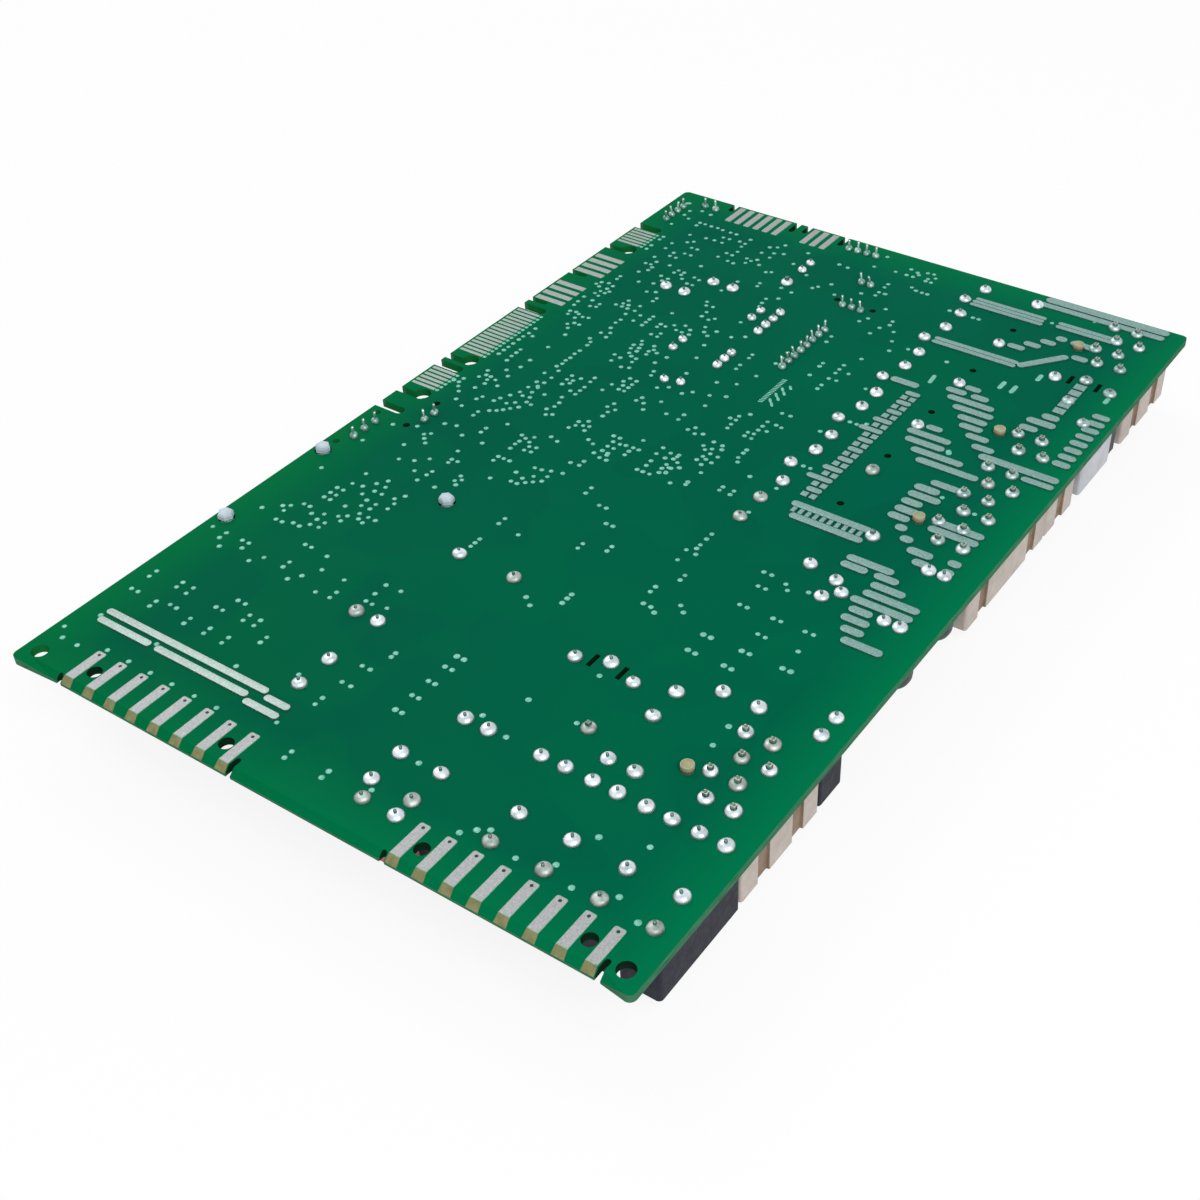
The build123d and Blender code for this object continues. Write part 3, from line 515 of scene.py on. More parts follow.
def peg_heads():
    """The locating pegs of the tab headers: rounded olive heads over the CAD pegs."""
    bm = bmesh.new()
    peg_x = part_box(TAB_HEADERS[0])[0][0] + PEG_IN
    for header in TAB_HEADERS:
        lathe(bm, Vector((peg_x, tab_rows(header)[0] + PEG_BEHIND, SOLDER_Z)), scaled(PEG_SHAPE, MM, MM), 20)
    finish_piece(bm, "header_peg_heads", ["peg_olive"])


STAKE_SHAPE = [(0.84, 0.0), (0.9, 0.12), (0.88, 0.55), (0.74, 0.82), (0.46, 0.96), (0.12, 1.0)]
STAKE_RISE = 1.55 * MM
STAKES_APART = 6 * MM          # vertices nearer than this belong to one head
CORE_WIDTH, CORE_HEIGHT = 0.6, 0.5          # the CAD heads shrink to this inside the new ones


def melted_stakes():
    """The spacer frame with its staked ends as uneven six-sided heads."""
    bm = bmesh.new()
    bm.from_mesh(nodes["spacer_frame"].data)
    heads = []
    for v in bm.verts:
        if v.co.z > SOLDER_Z - CLEAR:
            for group in heads:
                if (group[0].co.xy - v.co.xy).length < STAKES_APART:
                    group.append(v)
                    break
            else:
                heads.append([v])
    for group in heads:
        low, high = corners([v.co for v in group])
        middle = (low + high) / 2
        for v in group:
            v.co.xy = middle.xy + CORE_WIDTH * (v.co.xy - middle.xy)
            v.co.z = SOLDER_Z + CORE_HEIGHT * (v.co.z - SOLDER_Z)
        lean = Vector((random.uniform(-0.2, 0.2), random.uniform(-0.2, 0.2))) * MM
        lathe(bm, Vector((middle.x, middle.y, SOLDER_Z + CLEAR)),
              scaled(STAKE_SHAPE, (high.x - low.x) / 2, STAKE_RISE), 6, lean,
              squash=random.uniform(0.94, 1.04), turn=random.uniform(0, 1))
    finish_piece(bm, "spacer_frame_staked", ["frame_plastic"], ["spacer_frame"],
                 smooth=False)


leg_ends()
peg_heads()
melted_stakes()


# ---------------------------------------------------------------- tinned tracks
TRACK_ROUNDING = 0.2 * MM
TRACK_TOP = SOLDER_Z + 0.05 * MM       # edges above this are a track's upper edges


def soft_tracks():
    """The CAD tracks with rounded, solder-like upper edges."""
    bm = from_cad("tinned_tracks", 2)
    tops = [e for e in bm.edges
            if len(e.link_faces) == 2 and e.calc_face_angle(0.0) > math.radians(50)
            and all(v.co.z > TRACK_TOP for v in e.verts)]
    bmesh.ops.bevel(bm, geom=tops, offset=TRACK_ROUNDING, segments=3, profile=0.5, affect="EDGES",
                    clamp_overlap=True)
    finish_piece(bm, "solder_tracks", ["track_solder"], ["tinned_tracks"])


soft_tracks()


# ---------------------------------------------------------------- via pads
# Places in millimetres from the front left corner, x and y of each pad in turn.
VIAS = """
12.2 99.4  14.7 98.1  18.8 98.2  18.8 96.7  20.4 99.7  26.4 97.9  31.1 96.4  32.4 95.9  33.6 97.1  33.8 95.3
32.0 94.5  34.7 94.1  36.1 94.5  31.9 93.3  34.6 92.6  36.1 92.8  32.0 91.7  36.2 99.0  38.1 98.4  23.8 94.5
23.8 92.9  18.4 92.1  16.0 91.4  21.4 90.1  26.4 90.1  44.5 94.1  46.4 95.8  46.4 94.3  46.3 99.1  48.1 98.4
48.8 99.8  49.7 98.4  56.3 99.1  57.6 99.1  59.1 99.1  63.9 98.9  66.6 100.0  45.4 90.5  43.1 89.9
41.4 89.3  39.9 89.1  43.6 88.1  41.4 86.8  43.6 86.4  42.4 85.3  40.0 85.2  41.3 84.4  40.2 83.3  38.8 83.3
37.8 86.1  31.8 88.3  33.1 88.3  34.5 88.3  31.8 86.8  52.6 89.7  52.7 87.8  57.0 86.1  58.6 86.1  61.3 82.3
62.8 82.3  61.3 75.3  61.3 73.8  12.1 87.8  16.0 87.3  15.0 86.4  16.0 85.3  17.2 84.2  7.7 85.7  24.2 85.5
25.0 82.8  26.4 82.8  25.1 81.6  34.9 82.0  14.1 81.6  21.4 80.6  19.3 78.6  29.9 79.5  30.9 78.6  29.9 77.7
30.9 76.8  6.4 78.4  16.5 77.4  24.5 77.7  24.3 76.3  21.5 76.1  23.9 74.1  28.1 74.1  45.1 73.6  45.1 71.8
50.1 71.1  45.1 66.4  45.1 65.1  45.1 63.9  14.5 70.4  19.6 70.9  6.1 67.3  18.3 69.1  20.5 69.1  25.4 69.0
14.5 66.7  16.7 67.1  19.6 67.1  21.4 67.1  24.3 67.3  25.3 66.1  18.3 65.2  13.0 64.2  14.5 64.2  20.3 64.2
22.6 64.1  25.3 64.3  13.0 62.4  14.5 62.3  20.6 62.4  22.6 62.5  13.0 60.7  14.5 60.7  18.2 60.7  22.0 60.4
24.1 60.4  25.8 60.4  22.9 59.1  24.3 58.6  20.6 58.7  19.3 57.7  20.6 56.9  11.4 57.1  12.9 57.1  16.7 56.8
14.6 55.7  16.7 54.9  18.6 54.9  9.7 55.4  8.5 54.6  9.7 53.6  16.7 53.1  18.6 53.3  5.7 52.1  13.8 51.8
15.4 51.7  10.4 50.9  11.9 50.9  20.1 48.3  21.6 48.3  25.7 47.9  39.8 47.5  43.1 47.6  27.6 44.6  32.8 44.6
39.8 44.7  39.8 42.4  41.3 42.3  44.1 42.9  2.4 43.1  5.8 43.1  5.8 41.4  9.8 43.1  11.4 43.1  11.4 41.4
16.6 41.6  21.3 43.1  21.3 41.5  25.8 41.5  34.0 41.4  34.0 39.7  7.6 39.6  15.0 39.5  24.3 39.5  30.9 39.5
53.0 35.0  53.0 33.9  61.9 39.9  63.4 39.9  61.9 36.9  63.4 36.9  61.9 32.8  63.3 32.8  61.9 28.8  63.3 28.8
61.9 24.8  63.3 24.8  21.4 30.6  23.1 30.6  3.6 28.6  3.6 26.9  9.8 28.9  9.8 27.4  12.5 28.8  12.5 27.1
19.5 27.3  21.1 27.3  25.9 28.9  25.9 27.3  28.4 28.9  28.4 27.3  32.4 26.3  32.4 24.8  50.5 29.7  52.2 29.7
50.4 25.0  52.3 25.0  50.4 20.5  50.4 18.8  3.6 22.9  5.2 22.9  9.8 22.8  9.8 21.3  12.5 23.5  14.1 23.4
18.1 22.8  18.1 21.3  22.8 22.8  22.8 21.3  27.1 22.8  27.1 21.2  33.3 18.4  43.3 22.5  4.7 15.1  18.3 15.1
48.3 12.4  1.8 9.8  3.8 7.7  7.4 7.7  12.6 9.6  17.7 9.6  22.8 9.6  27.8 9.6  32.9 9.6  37.9 9.6  54.8 9.0
54.8 7.4  62.5 9.0  62.5 7.4  80.9 99.1  78.9 90.0  78.9 88.3  78.9 86.3  78.9 85.1  79.7 83.6  77.6 83.8
77.9 80.6  66.1 77.4  66.1 75.9  81.4 77.7  81.4 76.2  78.9 72.4  78.9 70.8  79.7 67.6  81.3 67.5  82.6 66.6
85.3 70.6  86.7 69.3  68.1 62.9  68.1 61.6  68.1 60.2  92.3 85.9  93.9 85.9  93.5 82.1  95.0 82.1  93.5 76.2
95.0 76.2  100.1 76.2  101.6 76.2  106.3 76.2  107.9 76.2  100.1 71.4  101.6 71.3  107.9 71.3  92.6 66.4
94.1 66.4  100.1 66.4  101.6 66.4  107.9 66.4  109.4 66.4  92.6 61.8  94.1 61.7  99.6 61.8  101.1 61.7
101.6 85.3  62.0 58.1  63.9 56.7  84.2 48.8  107.9 50.3  108.1 45.5  87.7 38.0  74.3 31.3  80.4 29.5
72.8 17.8  111.9 23.1  104.6 20.6  70.6 9.6  90.6 13.1  88.9 12.0  87.1 10.2  102.6 13.0  97.0 10.8
107.0 10.8  113.6 13.1  118.4 10.8  97.2 85.1  98.3 83.8  78.1 38.1  63.3 194.7  63.6 191.9  60.9 191.9
65.2 194.1  65.9 193.3  65.2 191.9  67.2 195.1  68.6 195.3  68.4 192.8  68.4 191.7  69.7 193.9  69.7 191.7
67.2 187.6  68.6 186.8  70.1 186.7  71.4 186.7  62.2 186.1  62.2 184.4  62.2 181.9  62.2 180.3  63.8 181.9
66.9 176.3  70.6 172.5  70.8 170.9  65.6 170.9  64.6 168.9  69.5 168.8  72.8 168.9  68.9 165.8  74.3 165.4
75.6 161.8  78.6 183.1  84.1 183.1  85.4 183.1  78.6 164.4  87.5 164.3  72.4 155.9  62.8 160.3  63.0 157.9
66.6 150.3  66.6 148.9  70.6 151.9  70.6 150.0  70.6 148.4  73.0 149.5  66.6 145.0  70.5 145.9  72.2 146.0
78.6 146.5  70.5 143.0  70.5 141.4  69.2 130.0  71.1 130.0  78.6 128.6  64.2 126.3  68.4 125.9  70.4 125.8
71.7 125.6  62.7 124.6  62.9 123.1  61.6 123.1  62.9 121.4  63.0 119.9  68.4 124.1  68.4 122.5  70.0 123.0
68.4 120.9  67.1 120.8  67.2 119.4  68.8 119.3  70.1 115.6  70.1 114.4  70.1 112.6  70.8 111.3  63.4 114.5
65.5 114.3  66.1 113.1  62.4 112.4  64.4 112.3  63.4 111.4  65.0 110.8  66.8 110.6  64.3 109.3  65.3 108.8
66.8 108.4  63.9 107.8  65.5 106.9  60.3 106.6  66.9 104.7  62.6 103.8  60.9 102.8  61.3 101.3  66.5 100.9
72.8 103.1  72.8 101.9  75.2 103.1  75.2 101.8  75.2 108.6  81.3 108.1  81.8 134.5  83.3 134.5  84.9 135.6
81.8 116.9  83.3 116.9  99.0 190.0  106.3 195.3  108.1 122.0  115.3 120.6  6.4 191.8  8.3 188.4  8.9 193.3
11.6 192.8  6.4 189.5  6.4 184.1  11.7 188.1  11.7 186.6  13.1 188.1  14.9 188.0  16.6 188.1  18.1 187.9
20.3 187.8  21.9 187.8  26.0 187.3  20.2 184.9  21.8 185.0  24.4 185.3  26.0 185.0  26.0 183.4  13.0 181.9
17.0 182.5  19.2 182.7  21.3 182.6  26.6 180.9  15.6 179.6  14.5 178.6  24.8 179.1  26.4 178.9  16.8 176.9
18.3 176.9  11.8 176.3  24.1 176.6  27.0 176.1  28.6 175.9  11.9 173.6  17.0 173.8  18.6 173.8  14.7 172.8
14.8 171.1  16.4 171.1  23.3 170.9  33.1 187.5  31.6 186.6  34.1 189.3  35.9 185.6  33.9 184.7  31.4 183.4
34.1 182.5  32.3 180.1  30.0 179.4  31.4 178.9  33.9 178.3  30.8 177.5  36.9 176.3  37.9 177.0  8.4 177.9
8.4 176.3  8.4 173.0  8.4 171.1  40.3 188.9  40.1 182.8  45.1 180.0  43.4 172.2  46.3 171.6  38.4 171.4
38.6 170.0  33.9 169.4  48.8 188.1  51.1 187.8  56.1 196.9  55.8 191.4  63.6 181.9  59.2 179.4  51.8 179.4
49.1 175.8  49.9 176.9  54.6 175.8  12.1 168.9  13.8 167.2  17.2 167.5  20.2 166.6  21.8 166.4  12.1 165.4
13.4 165.6  14.4 164.6  19.9 165.2  21.8 165.2  22.9 163.9  24.9 165.8  26.4 165.4  14.4 163.1  25.0 162.7
26.4 162.7  13.0 161.4  18.3 162.5  20.3 162.2  19.7 160.8  18.8 158.8  15.6 157.7  10.8 157.5  10.9 156.1
21.4 155.9  19.6 155.0  23.1 153.8  23.1 152.3  8.9 153.1  10.5 153.6  12.0 153.0  8.3 151.9  9.5 151.3
11.6 151.4  12.8 150.6  11.0 149.8  12.3 149.6  10.5 148.4  11.8 147.9  9.4 145.9  11.9 145.6  14.2 145.1
14.2 143.8  12.9 143.3  9.5 143.6  9.7 141.9  29.5 150.3  18.6 149.7  18.3 148.1  19.7 148.1  22.0 149.1
17.2 146.9  18.8 146.9  20.3 146.8  22.2 146.8  24.3 145.9  26.9 147.0  26.9 145.6  26.9 144.2  26.9 142.8
21.3 144.7  24.3 143.3  21.8 142.2  30.0 145.3  31.4 145.0  32.7 146.4  34.8 147.5  36.6 146.6  30.0 143.9
34.1 145.0  35.6 144.9  37.4 144.9  32.2 142.1  30.6 140.8  32.3 140.6  21.6 140.6  10.5 139.4  11.9 139.7
12.9 139.3  14.3 138.8  15.6 139.1  10.9 138.1  13.1 137.6  22.0 138.3  23.1 136.6  14.3 135.8  15.6 135.8
13.3 134.7  14.4 133.4  21.4 135.6  23.4 134.7  30.6 137.5  31.3 136.3  31.7 134.9  30.0 135.3  32.0 133.6
33.9 137.2  34.7 135.9  35.9 135.2  34.1 134.9  34.4 133.6  38.6 134.9  30.3 133.9  31.1 132.2  32.2 131.4
33.6 131.1  37.7 131.9  33.6 129.6  30.6 129.7  28.9 130.1  20.8 132.5  21.8 131.4  22.0 130.0  15.6 130.9
8.8 129.5  29.7 127.8  34.4 127.5  32.8 126.9  39.4 129.1  39.8 127.5  22.0 127.4  21.8 125.8  8.8 127.3
10.2 126.7  15.6 125.0  8.6 125.6  8.6 124.1  22.0 124.1  21.8 122.8  22.0 121.4  21.6 120.0  36.9 124.3
38.6 124.1  36.4 122.7  38.6 122.6  37.2 121.4  38.6 121.3  37.3 119.8  38.6 119.8  35.1 120.5  43.4 124.4
45.3 125.8  50.3 126.9  48.8 125.3  53.8 127.7  56.8 129.1  55.1 124.1  52.4 132.5  56.1 134.1  45.4 132.0
57.8 138.8  43.8 138.1  42.4 143.1  52.8 145.3  52.9 143.8  52.8 140.6  52.9 138.9  47.8 150.5  45.4 148.8
41.6 149.1  40.9 146.6  38.6 149.3  39.5 147.5  37.5 152.2  38.4 153.3  35.4 157.2  35.4 154.7  35.5 152.7
33.1 158.4  33.8 157.0  43.8 155.0  43.1 166.3  43.3 164.4  43.6 162.8  45.3 167.8  33.0 164.2  58.4 150.0
58.6 147.5  58.6 145.0  11.4 121.1  11.4 119.7  11.4 118.1  11.6 116.3  8.6 122.2  8.6 120.6  8.6 119.1
8.6 117.4  15.6 118.9  15.6 115.8  23.0 118.8  21.1 116.6  23.4 115.9  26.4 118.8  28.6 118.9  26.4 117.1
27.7 117.4  27.7 116.3  26.6 115.2  30.8 120.6  30.9 118.9  31.1 116.7  31.1 115.2  29.5 114.1  31.1 113.6
34.7 117.8  43.0 119.8  42.6 118.3  44.4 118.3  47.0 120.6  50.3 117.6  53.4 119.2  53.4 117.2  45.6 116.4
57.8 116.6  56.9 115.3  58.8 114.8  60.2 115.6  39.6 115.0  39.1 113.4  41.1 113.3  40.3 111.9  40.3 110.2
29.5 111.3  30.3 109.4  30.3 107.8  29.5 106.3  30.6 104.6  31.7 105.3  13.9 113.3  15.6 111.6  10.8 111.1
11.6 109.6  12.8 109.6  14.4 109.1  10.8 108.3  12.9 108.3  16.1 107.6  13.4 106.9  12.7 104.7  21.8 113.1
23.3 113.6  23.0 111.9  21.6 110.6  23.4 111.4  23.4 109.5  21.3 108.3  24.2 107.8  22.6 107.5  20.4 106.3
24.7 106.1  26.0 110.2  26.0 105.8  19.4 104.4  22.9 104.7  24.5 103.8  21.6 103.6  23.4 102.5  18.9 103.0
16.1 102.9  15.6 101.6  22.5 101.4  21.6 100.5  10.8 101.9  9.5 103.3  8.6 106.1  7.3 104.6  8.6 104.6
39.1 107.2  37.5 106.1  39.1 105.4  40.3 105.8  37.8 104.7  40.3 104.2  37.1 103.4  46.1 105.8  47.6 105.8
47.2 104.1  48.8 104.1  50.0 104.4  51.6 104.5  52.9 104.5  51.8 107.6  51.6 103.1  51.6 101.7  47.2 102.3
48.6 102.3  47.2 100.6  48.6 100.4  42.8 102.1  44.4 101.4  56.4 107.6  58.6 106.9  60.3 107.2  56.4 105.3
58.6 105.0  60.1 105.6  61.4 105.0  56.9 102.8  60.0 103.4  61.4 102.8  60.0 101.9  57.0 101.1  60.3 100.5
61.4 101.1  62.7 103.8
"""
# Longer bare spots of copper: centre, length and width in millimetres, turn in degrees.
STROKES = [(88.0, 156.9, 3.4, 0.9, 96), (105.8, 168.9, 2.8, 1.0, 90), (120.4, 168.2, 2.4, 1.0, 90),
           (100.7, 162.4, 3.2, 1.0, 90), (103.3, 162.2, 3.2, 1.0, 90), (102.5, 135.6, 1.8, 1.1, 120),
           (3.9, 194.9, 1.6, 1.0, 34)]
STROKES += [(63.4, 131.3 + 0.62 * i, 1.1, 0.32, 18) for i in range(16)]
STROKES += [(65.4 + dx, 131.6 + dy, 1.5, 0.6, 128) for dx, dy in
            ((0.4, 0.0), (-0.6, 1.1), (0.4, 2.4), (-0.6, 3.4), (0.4, 4.7), (-0.6, 5.8), (0.4, 7.2))]
STROKE_HEIGHT = 0.09 * MM
PAD_SHAPE = [(1.0, 0.0), (0.92, 0.45), (0.6, 0.9), (0.25, 1.0)]
DOT_SHAPE = [(0.45, 0.0), (0.4, 0.06), (0.15, 0.12)]        # the pad at each fine side contact, in mm
DOT_STEP = 0.5 * MM            # from a fine contact's inner end to its pad
FINE_CONTACT = 1.0 * MM        # side contacts narrower than this have a pad


def pad_growth(x, y):
    """Pads in the front right quarter are a little larger."""
    return 1.15 if x > 60 and y < 70 else 1.0


def via_pads():
    """Small domed pads left free of mask."""
    numbers = [float(word) for word in VIAS.split()]
    bm = bmesh.new()
    for x, y in zip(numbers[::2], numbers[1::2]):
        radius = random.uniform(0.45, 0.54) * MM * pad_growth(x, y)
        height = random.uniform(0.10, 0.17) * MM
        lathe(bm, on_board(x, y, CLEAR), scaled(PAD_SHAPE, radius, height), 10, turn=random.random())
    for low, high in islands("side_edge_contacts"):
        if high.y - low.y < FINE_CONTACT:
            lathe(bm, Vector((high.x + DOT_STEP, (low.y + high.y) / 2, SOLDER_Z + CLEAR)),
                  scaled(DOT_SHAPE, MM, MM), 10)
    finish_piece(bm, "via_pads", ["via_solder"])


def stroke(bm, middle, length, width, turn):
    """A low round-ended bar."""
    along = Vector((math.cos(turn), math.sin(turn), 0))
    across = Vector((-along.y, along.x, 0))
    straight = max(0.0, (length - width) / 2)
    rings = []
    for shrink, z in ((1.0, 0.0), (0.9, 0.6), (0.6, 1.0)):
        radius = width / 2 * shrink
        ring = []
        for side in (1, -1):
            for i in range(5):
                angle = -math.pi / 2 + math.pi * i / 4
                ring.append(bm.verts.new(middle + side * (along * (straight + radius * math.cos(angle))
                                                          + across * radius * math.sin(angle))
                                         + Vector((0, 0, z * STROKE_HEIGHT))))
        rings.append(ring)
    skin(bm, rings)
    bm.faces.new(rings[-1])


def bare_strokes():
    """Low bars of bare copper left free of mask."""
    bm = bmesh.new()
    for x, y, length, width, turn in STROKES:
        stroke(bm, on_board(x, y, CLEAR), length * MM, width * MM, math.radians(turn))
    finish_piece(bm, "bare_strokes", ["via_solder"])


via_pads()
bare_strokes()


# ---------------------------------------------------------------- board with bevelled front tongues
BEVEL_START = BOARD_LOW[1] + 1.7 * MM      # the bevel begins here and falls towards the front edge
BEVEL_DROP = 1.1 * MM
TONGUE_EDGE = BOARD_LOW[1] + 0.55 * MM     # the bevelled edge stands back from the board's own
TONGUE_MARGIN = 1.3 * MM                   # a tongue reaches this far past its outer contacts
TONGUE_CONTACTS = 8
front_boxes = islands("front_edge_contacts")


def tongue_drop(y):
    """How far the bevel lies below the solder face at a place near the front edge."""
    return max(0.0, 1 - (y - TONGUE_EDGE) / (BEVEL_START - TONGUE_EDGE)) * BEVEL_DROP


def bevelled_board():
    """The board with its two front contact tongues bevelled towards their edge."""
    bm = from_cad("circuit_board", 1)
    geometry = list(bm.verts) + list(bm.edges) + list(bm.faces)
    bmesh.ops.bisect_plane(bm, geom=geometry, plane_co=Vector((0, BEVEL_START, 0)),
                           plane_no=Vector((0, 1, 0)), dist=CUT_TOLERANCE)
    lefts = sorted({round(low.x, 5) for low, _ in front_boxes})
    rights = sorted({round(high.x, 5) for _, high in front_boxes})
    tongues = [(lefts[i] - TONGUE_MARGIN, rights[i + TONGUE_CONTACTS - 1] + TONGUE_MARGIN)
               for i in (0, TONGUE_CONTACTS)]
    for v in bm.verts:
        if v.co.y > BEVEL_START or not any(left < v.co.x < right for left, right in tongues):
            continue
        v.co.y = max(v.co.y, TONGUE_EDGE)
        if v.co.z > SOLDER_Z - CLEAR:
            v.co.z -= tongue_drop(v.co.y)
    finish_piece(bm, "board_with_bevels", ["solder_mask"], ["circuit_board"], smooth=False)


bevelled_board()


# ---------------------------------------------------------------- edge contacts
RIM_INSET = 0.12 * MM          # a contact's softened upper edge
PIT_IN = 0.8 * MM              # from a contact's inner end to its pit
# The pit is a thin disc; its dark colour is painted shade.
PIT_SHAPE = [(0.3, 0.0), (0.3, 0.012), (0.1, 0.013)]        # in mm
PIT_SINK = 0.004 * MM


def finger(bm, low, high, inward, corner, pitted):
    """A contact with rounded inner corners, softened edges and, where pitted, a small pit near its end, a
    nearly flat disc painted dark as shade.
    """
    middle = centre((low, high))
    along = Vector(inward).to_3d()
    across = Vector((-along.y, along.x, 0))
    size = high - low
    length = abs(size.dot(along))
    width = abs(size.dot(across))
    rings = []
    for inset, z in ((0.0, 0.0), (0.0, 0.6), (RIM_INSET, 1.0)):
        half_l = length / 2 - inset
        half_w = width / 2 - inset
        outline = [(-half_l, -half_w)]
        for side in (-1, 1):
            for i in range(5):
                angle = math.pi / 2 * (i / 4 + (side - 1) / 2)
                outline.append((half_l - corner + corner * math.cos(angle),
                                side * (half_w - corner) + corner * math.sin(angle)))
        outline.append((-half_l, half_w))
        base = Vector((middle.x, middle.y, SOLDER_Z + z * (high.z - low.z)))
        rings.append([bm.verts.new(base + along * a + across * b) for a, b in outline])
    skin(bm, rings, 1)
    bm.faces.new(rings[-1])
    if pitted:
        spot = Vector((middle.x, middle.y, high.z - PIT_SINK)) + along * (length / 2 - PIT_IN)
        lathe(bm, spot, scaled(PIT_SHAPE, MM, MM), 10, material=2)


for node, piece_name, inward, corner, pitted in (
        ("front_edge_contacts", "front_contact_fingers", (0, 1), 0.4 * MM, True),
        ("side_edge_contacts", "side_contact_fingers", (1, 0), 0.25 * MM, False),
        ("rear_edge_contacts", "rear_contact_fingers", (0, -1), 0.3 * MM, False)):
    fingers = bmesh.new()
    for low, high in islands(node):
        finger(fingers, low, high, inward, corner, pitted)
    finish_piece(fingers, piece_name, ["contact_tin", "contact_rim", "pit_painted_shade"], [node],
                 smooth=False)


TIP_SPREAD = 0.12 * MM
TIP_HALF = 0.03 * MM           # half its thickness
TIP_END = TONGUE_EDGE + 0.02 * MM


def bevel_tips():
    """Bare laminate where each front contact runs down the bevel."""
    bm = bmesh.new()
    for low, high in front_boxes:
        outline = [(low.x, low.y), (high.x, low.y),
                   (high.x + TIP_SPREAD, TIP_END), (low.x - TIP_SPREAD, TIP_END)]
        foot, top = ([bm.verts.new((x, y, SOLDER_Z - tongue_drop(y) + lift)) for x, y in outline]
                     for lift in (-TIP_HALF, TIP_HALF))
        bm.faces.new(top)
        skin(bm, [foot, top])
    finish_piece(bm, "contact_bevel_tips", ["tip_laminate"], smooth=False)


bevel_tips()


# ---------------------------------------------------------------- tab headers and chokes
GROOVE_DEPTH = 0.6 * MM
GROOVE_STEP = 2.5 * MM         # from the first and last row of tabs to a key groove
GROOVE_FLOOR = [(-1.66, 0.5), (-1.6, 0.12), (-1.2, 0.05), (0.0, 0.08), (1.2, 0.05), (1.6, 0.12), (1.66, 0.5)]
CHOKE_SHAPE = [(0.3, 0.0), (0.62, 0.01), (0.84, 0.05), (0.95, 0.12), (0.97, 0.2), (0.94, 0.3), (0.95, 0.5),
               (0.94, 0.7), (0.97, 0.85), (0.97, 0.94), (0.85, 1.0)]


def groove_lining(bm, x, y, bottom, top):
    """A thin curved strip on the floor of one groove, carrying painted shade."""
    rows = []
    for z in (bottom + 0.02 * MM, bottom + 0.3 * MM, (bottom + top) / 2, top - 0.02 * MM):
        rows.append([bm.verts.new((x + reach * MM, y + along * MM, z)) for along, reach in GROOVE_FLOOR])
    for lower, upper in zip(rows, rows[1:]):
        for i in range(len(GROOVE_FLOOR) - 1):
            bm.faces.new((lower[i], lower[i + 1], upper[i + 1], upper[i]))


def header_grooves():
    """Tan linings in the key grooves of the tab headers' outer walls: painted shade, where the grooves lie in
    shadow.
    """
    bm = bmesh.new()
    for header in TAB_HEADERS:
        low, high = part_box(header)
        rows = tab_rows(header)
        for y in sorted({round(rows[0] + GROOVE_STEP, 5), round(rows[-1] - GROOVE_STEP, 5)}):
            groove_lining(bm, high[0] - GROOVE_DEPTH, y, low[2], COMPONENT_Z)
    finish_piece(bm, "header_groove_linings", ["groove_painted_shade"], smooth=False)


def sleeved_chokes():
    """Wound chokes in black sleeves with rounded ends."""
    bm = bmesh.new()
    for low, high in islands("drum_chokes"):
        middle = centre((low, high))
        lathe(bm, Vector((middle.x, middle.y, low.z)),
              scaled(CHOKE_SHAPE, (high.x - low.x) / 2, high.z - low.z), 32)
    finish_piece(bm, "choke_sleeves", ["choke_ferrite"], ["drum_chokes"])


header_grooves()
sleeved_chokes()


# ---------------------------------------------------------------- stage, light and camera
def math_node(tree, operation, first, second):
    """Two outputs, or an output and a number, brought together."""
    node = tree.nodes.new("ShaderNodeMath")
    node.operation = operation
    tree.links.new(first, node.inputs[0])
    if isinstance(second, float):
        node.inputs[1].default_value = second
    else:
        tree.links.new(second, node.inputs[1])
    return node.outputs[0]


def stage_material(name, tone, keep):
    """White to the camera and in reflections; keep is how much of the shadow stays."""
    material = bpy.data.materials.new(name)
    material.use_nodes = True
    tree = material.node_tree
    tree.nodes.clear()
    output = tree.nodes.new("ShaderNodeOutputMaterial")
    mix = tree.nodes.new("ShaderNodeMixShader")
    diffuse = tree.nodes.new("ShaderNodeBsdfDiffuse")
    diffuse.inputs["Color"].default_value = (tone, tone, tone, 1)
    glow = tree.nodes.new("ShaderNodeEmission")
    glow.inputs["Color"].default_value = (1, 1, 1, 1)
    glow.inputs["Strength"].default_value = 1.0
    path = tree.nodes.new("ShaderNodeLightPath").outputs
    seen = math_node(tree, "MAXIMUM", path["Is Camera Ray"], path["Is Glossy Ray"])
    seen = math_node(tree, "MAXIMUM", seen, path["Is Transmission Ray"])
    tree.links.new(math_node(tree, "MULTIPLY", seen, 1.0 - keep), mix.inputs[0])
    tree.links.new(diffuse.outputs[0], mix.inputs[1])
    tree.links.new(glow.outputs[0], mix.inputs[2])
    tree.links.new(mix.outputs[0], output.inputs["Surface"])
    return material


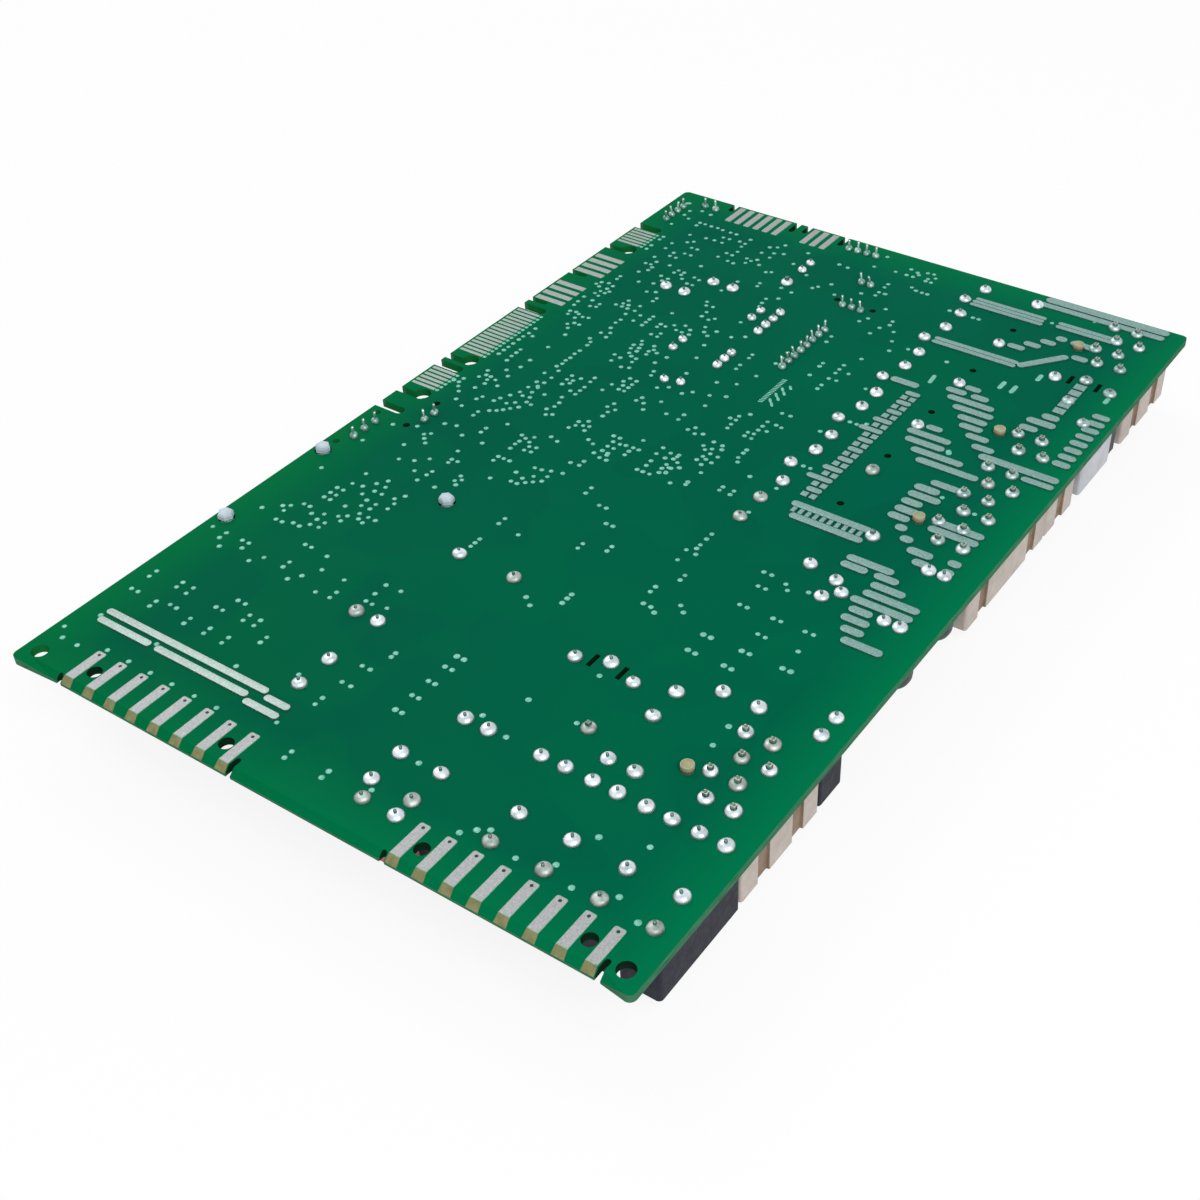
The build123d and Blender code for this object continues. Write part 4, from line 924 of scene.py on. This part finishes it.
floor_mesh = bpy.data.meshes.new("floor")
floor_mesh.from_pydata([(-3, -3, 0), (3, -3, 0), (3, 3, 0), (-3, 3, 0)], [], [(0, 1, 2, 3)])
floor_mesh.materials.append(stage_material("floor_white", 0.8, 0.12))
floor = bpy.data.objects.new("floor", floor_mesh)
bpy.context.collection.objects.link(floor)

scene = bpy.context.scene
scene.view_settings.view_transform = "Standard"


def studio(level):
    """A white world that lights the part at level and shows at full strength."""
    world = bpy.data.worlds.new("studio")
    world.use_nodes = True
    tree = world.node_tree
    background = tree.nodes["Background"]
    background.inputs["Color"].default_value = (1, 1, 1, 1)
    path = tree.nodes.new("ShaderNodeLightPath").outputs
    seen = math_node(tree, "MAXIMUM", path["Is Camera Ray"], path["Is Glossy Ray"])
    strength = tree.nodes.new("ShaderNodeMapRange")
    strength.inputs["To Min"].default_value = level
    strength.inputs["To Max"].default_value = 1.0
    tree.links.new(seen, strength.inputs["Value"])
    tree.links.new(strength.outputs["Result"], background.inputs["Strength"])
    return world


def area_light(name, place, size, power):
    """A square lamp aimed at the middle of the board."""
    data = bpy.data.lights.new(name, "AREA")
    data.shape = "SQUARE"
    data.size = size
    data.energy = power
    lamp = bpy.data.objects.new(name, data)
    lamp.location = place
    lamp.rotation_euler = (Vector((0, 0, 0.017)) - Vector(place)).to_track_quat("-Z", "Y").to_euler()
    bpy.context.collection.objects.link(lamp)


scene.world = studio(0.6)
area_light("key_light", (0.55, -0.35, 0.75), 0.5, 6.0)
area_light("fill_light", (-0.7, 0.3, 0.8), 0.6, 3.0)

# The camera is fitted to the board's outline and solder joints in the photograph.
camera_data = bpy.data.cameras.new("camera")
camera_data.sensor_width = 36.0
camera_data.lens = 50.56
camera_data.shift_x = -0.0662
camera_data.shift_y = -0.0011
camera_data.clip_start = 0.01
camera_data.clip_end = 20.0
camera = bpy.data.objects.new("camera", camera_data)
camera.location = (0.14656, -0.20934, 0.19931)
camera.rotation_euler = (0.88002, 0.01318, 0.59254)
bpy.context.collection.objects.link(camera)
scene.camera = camera
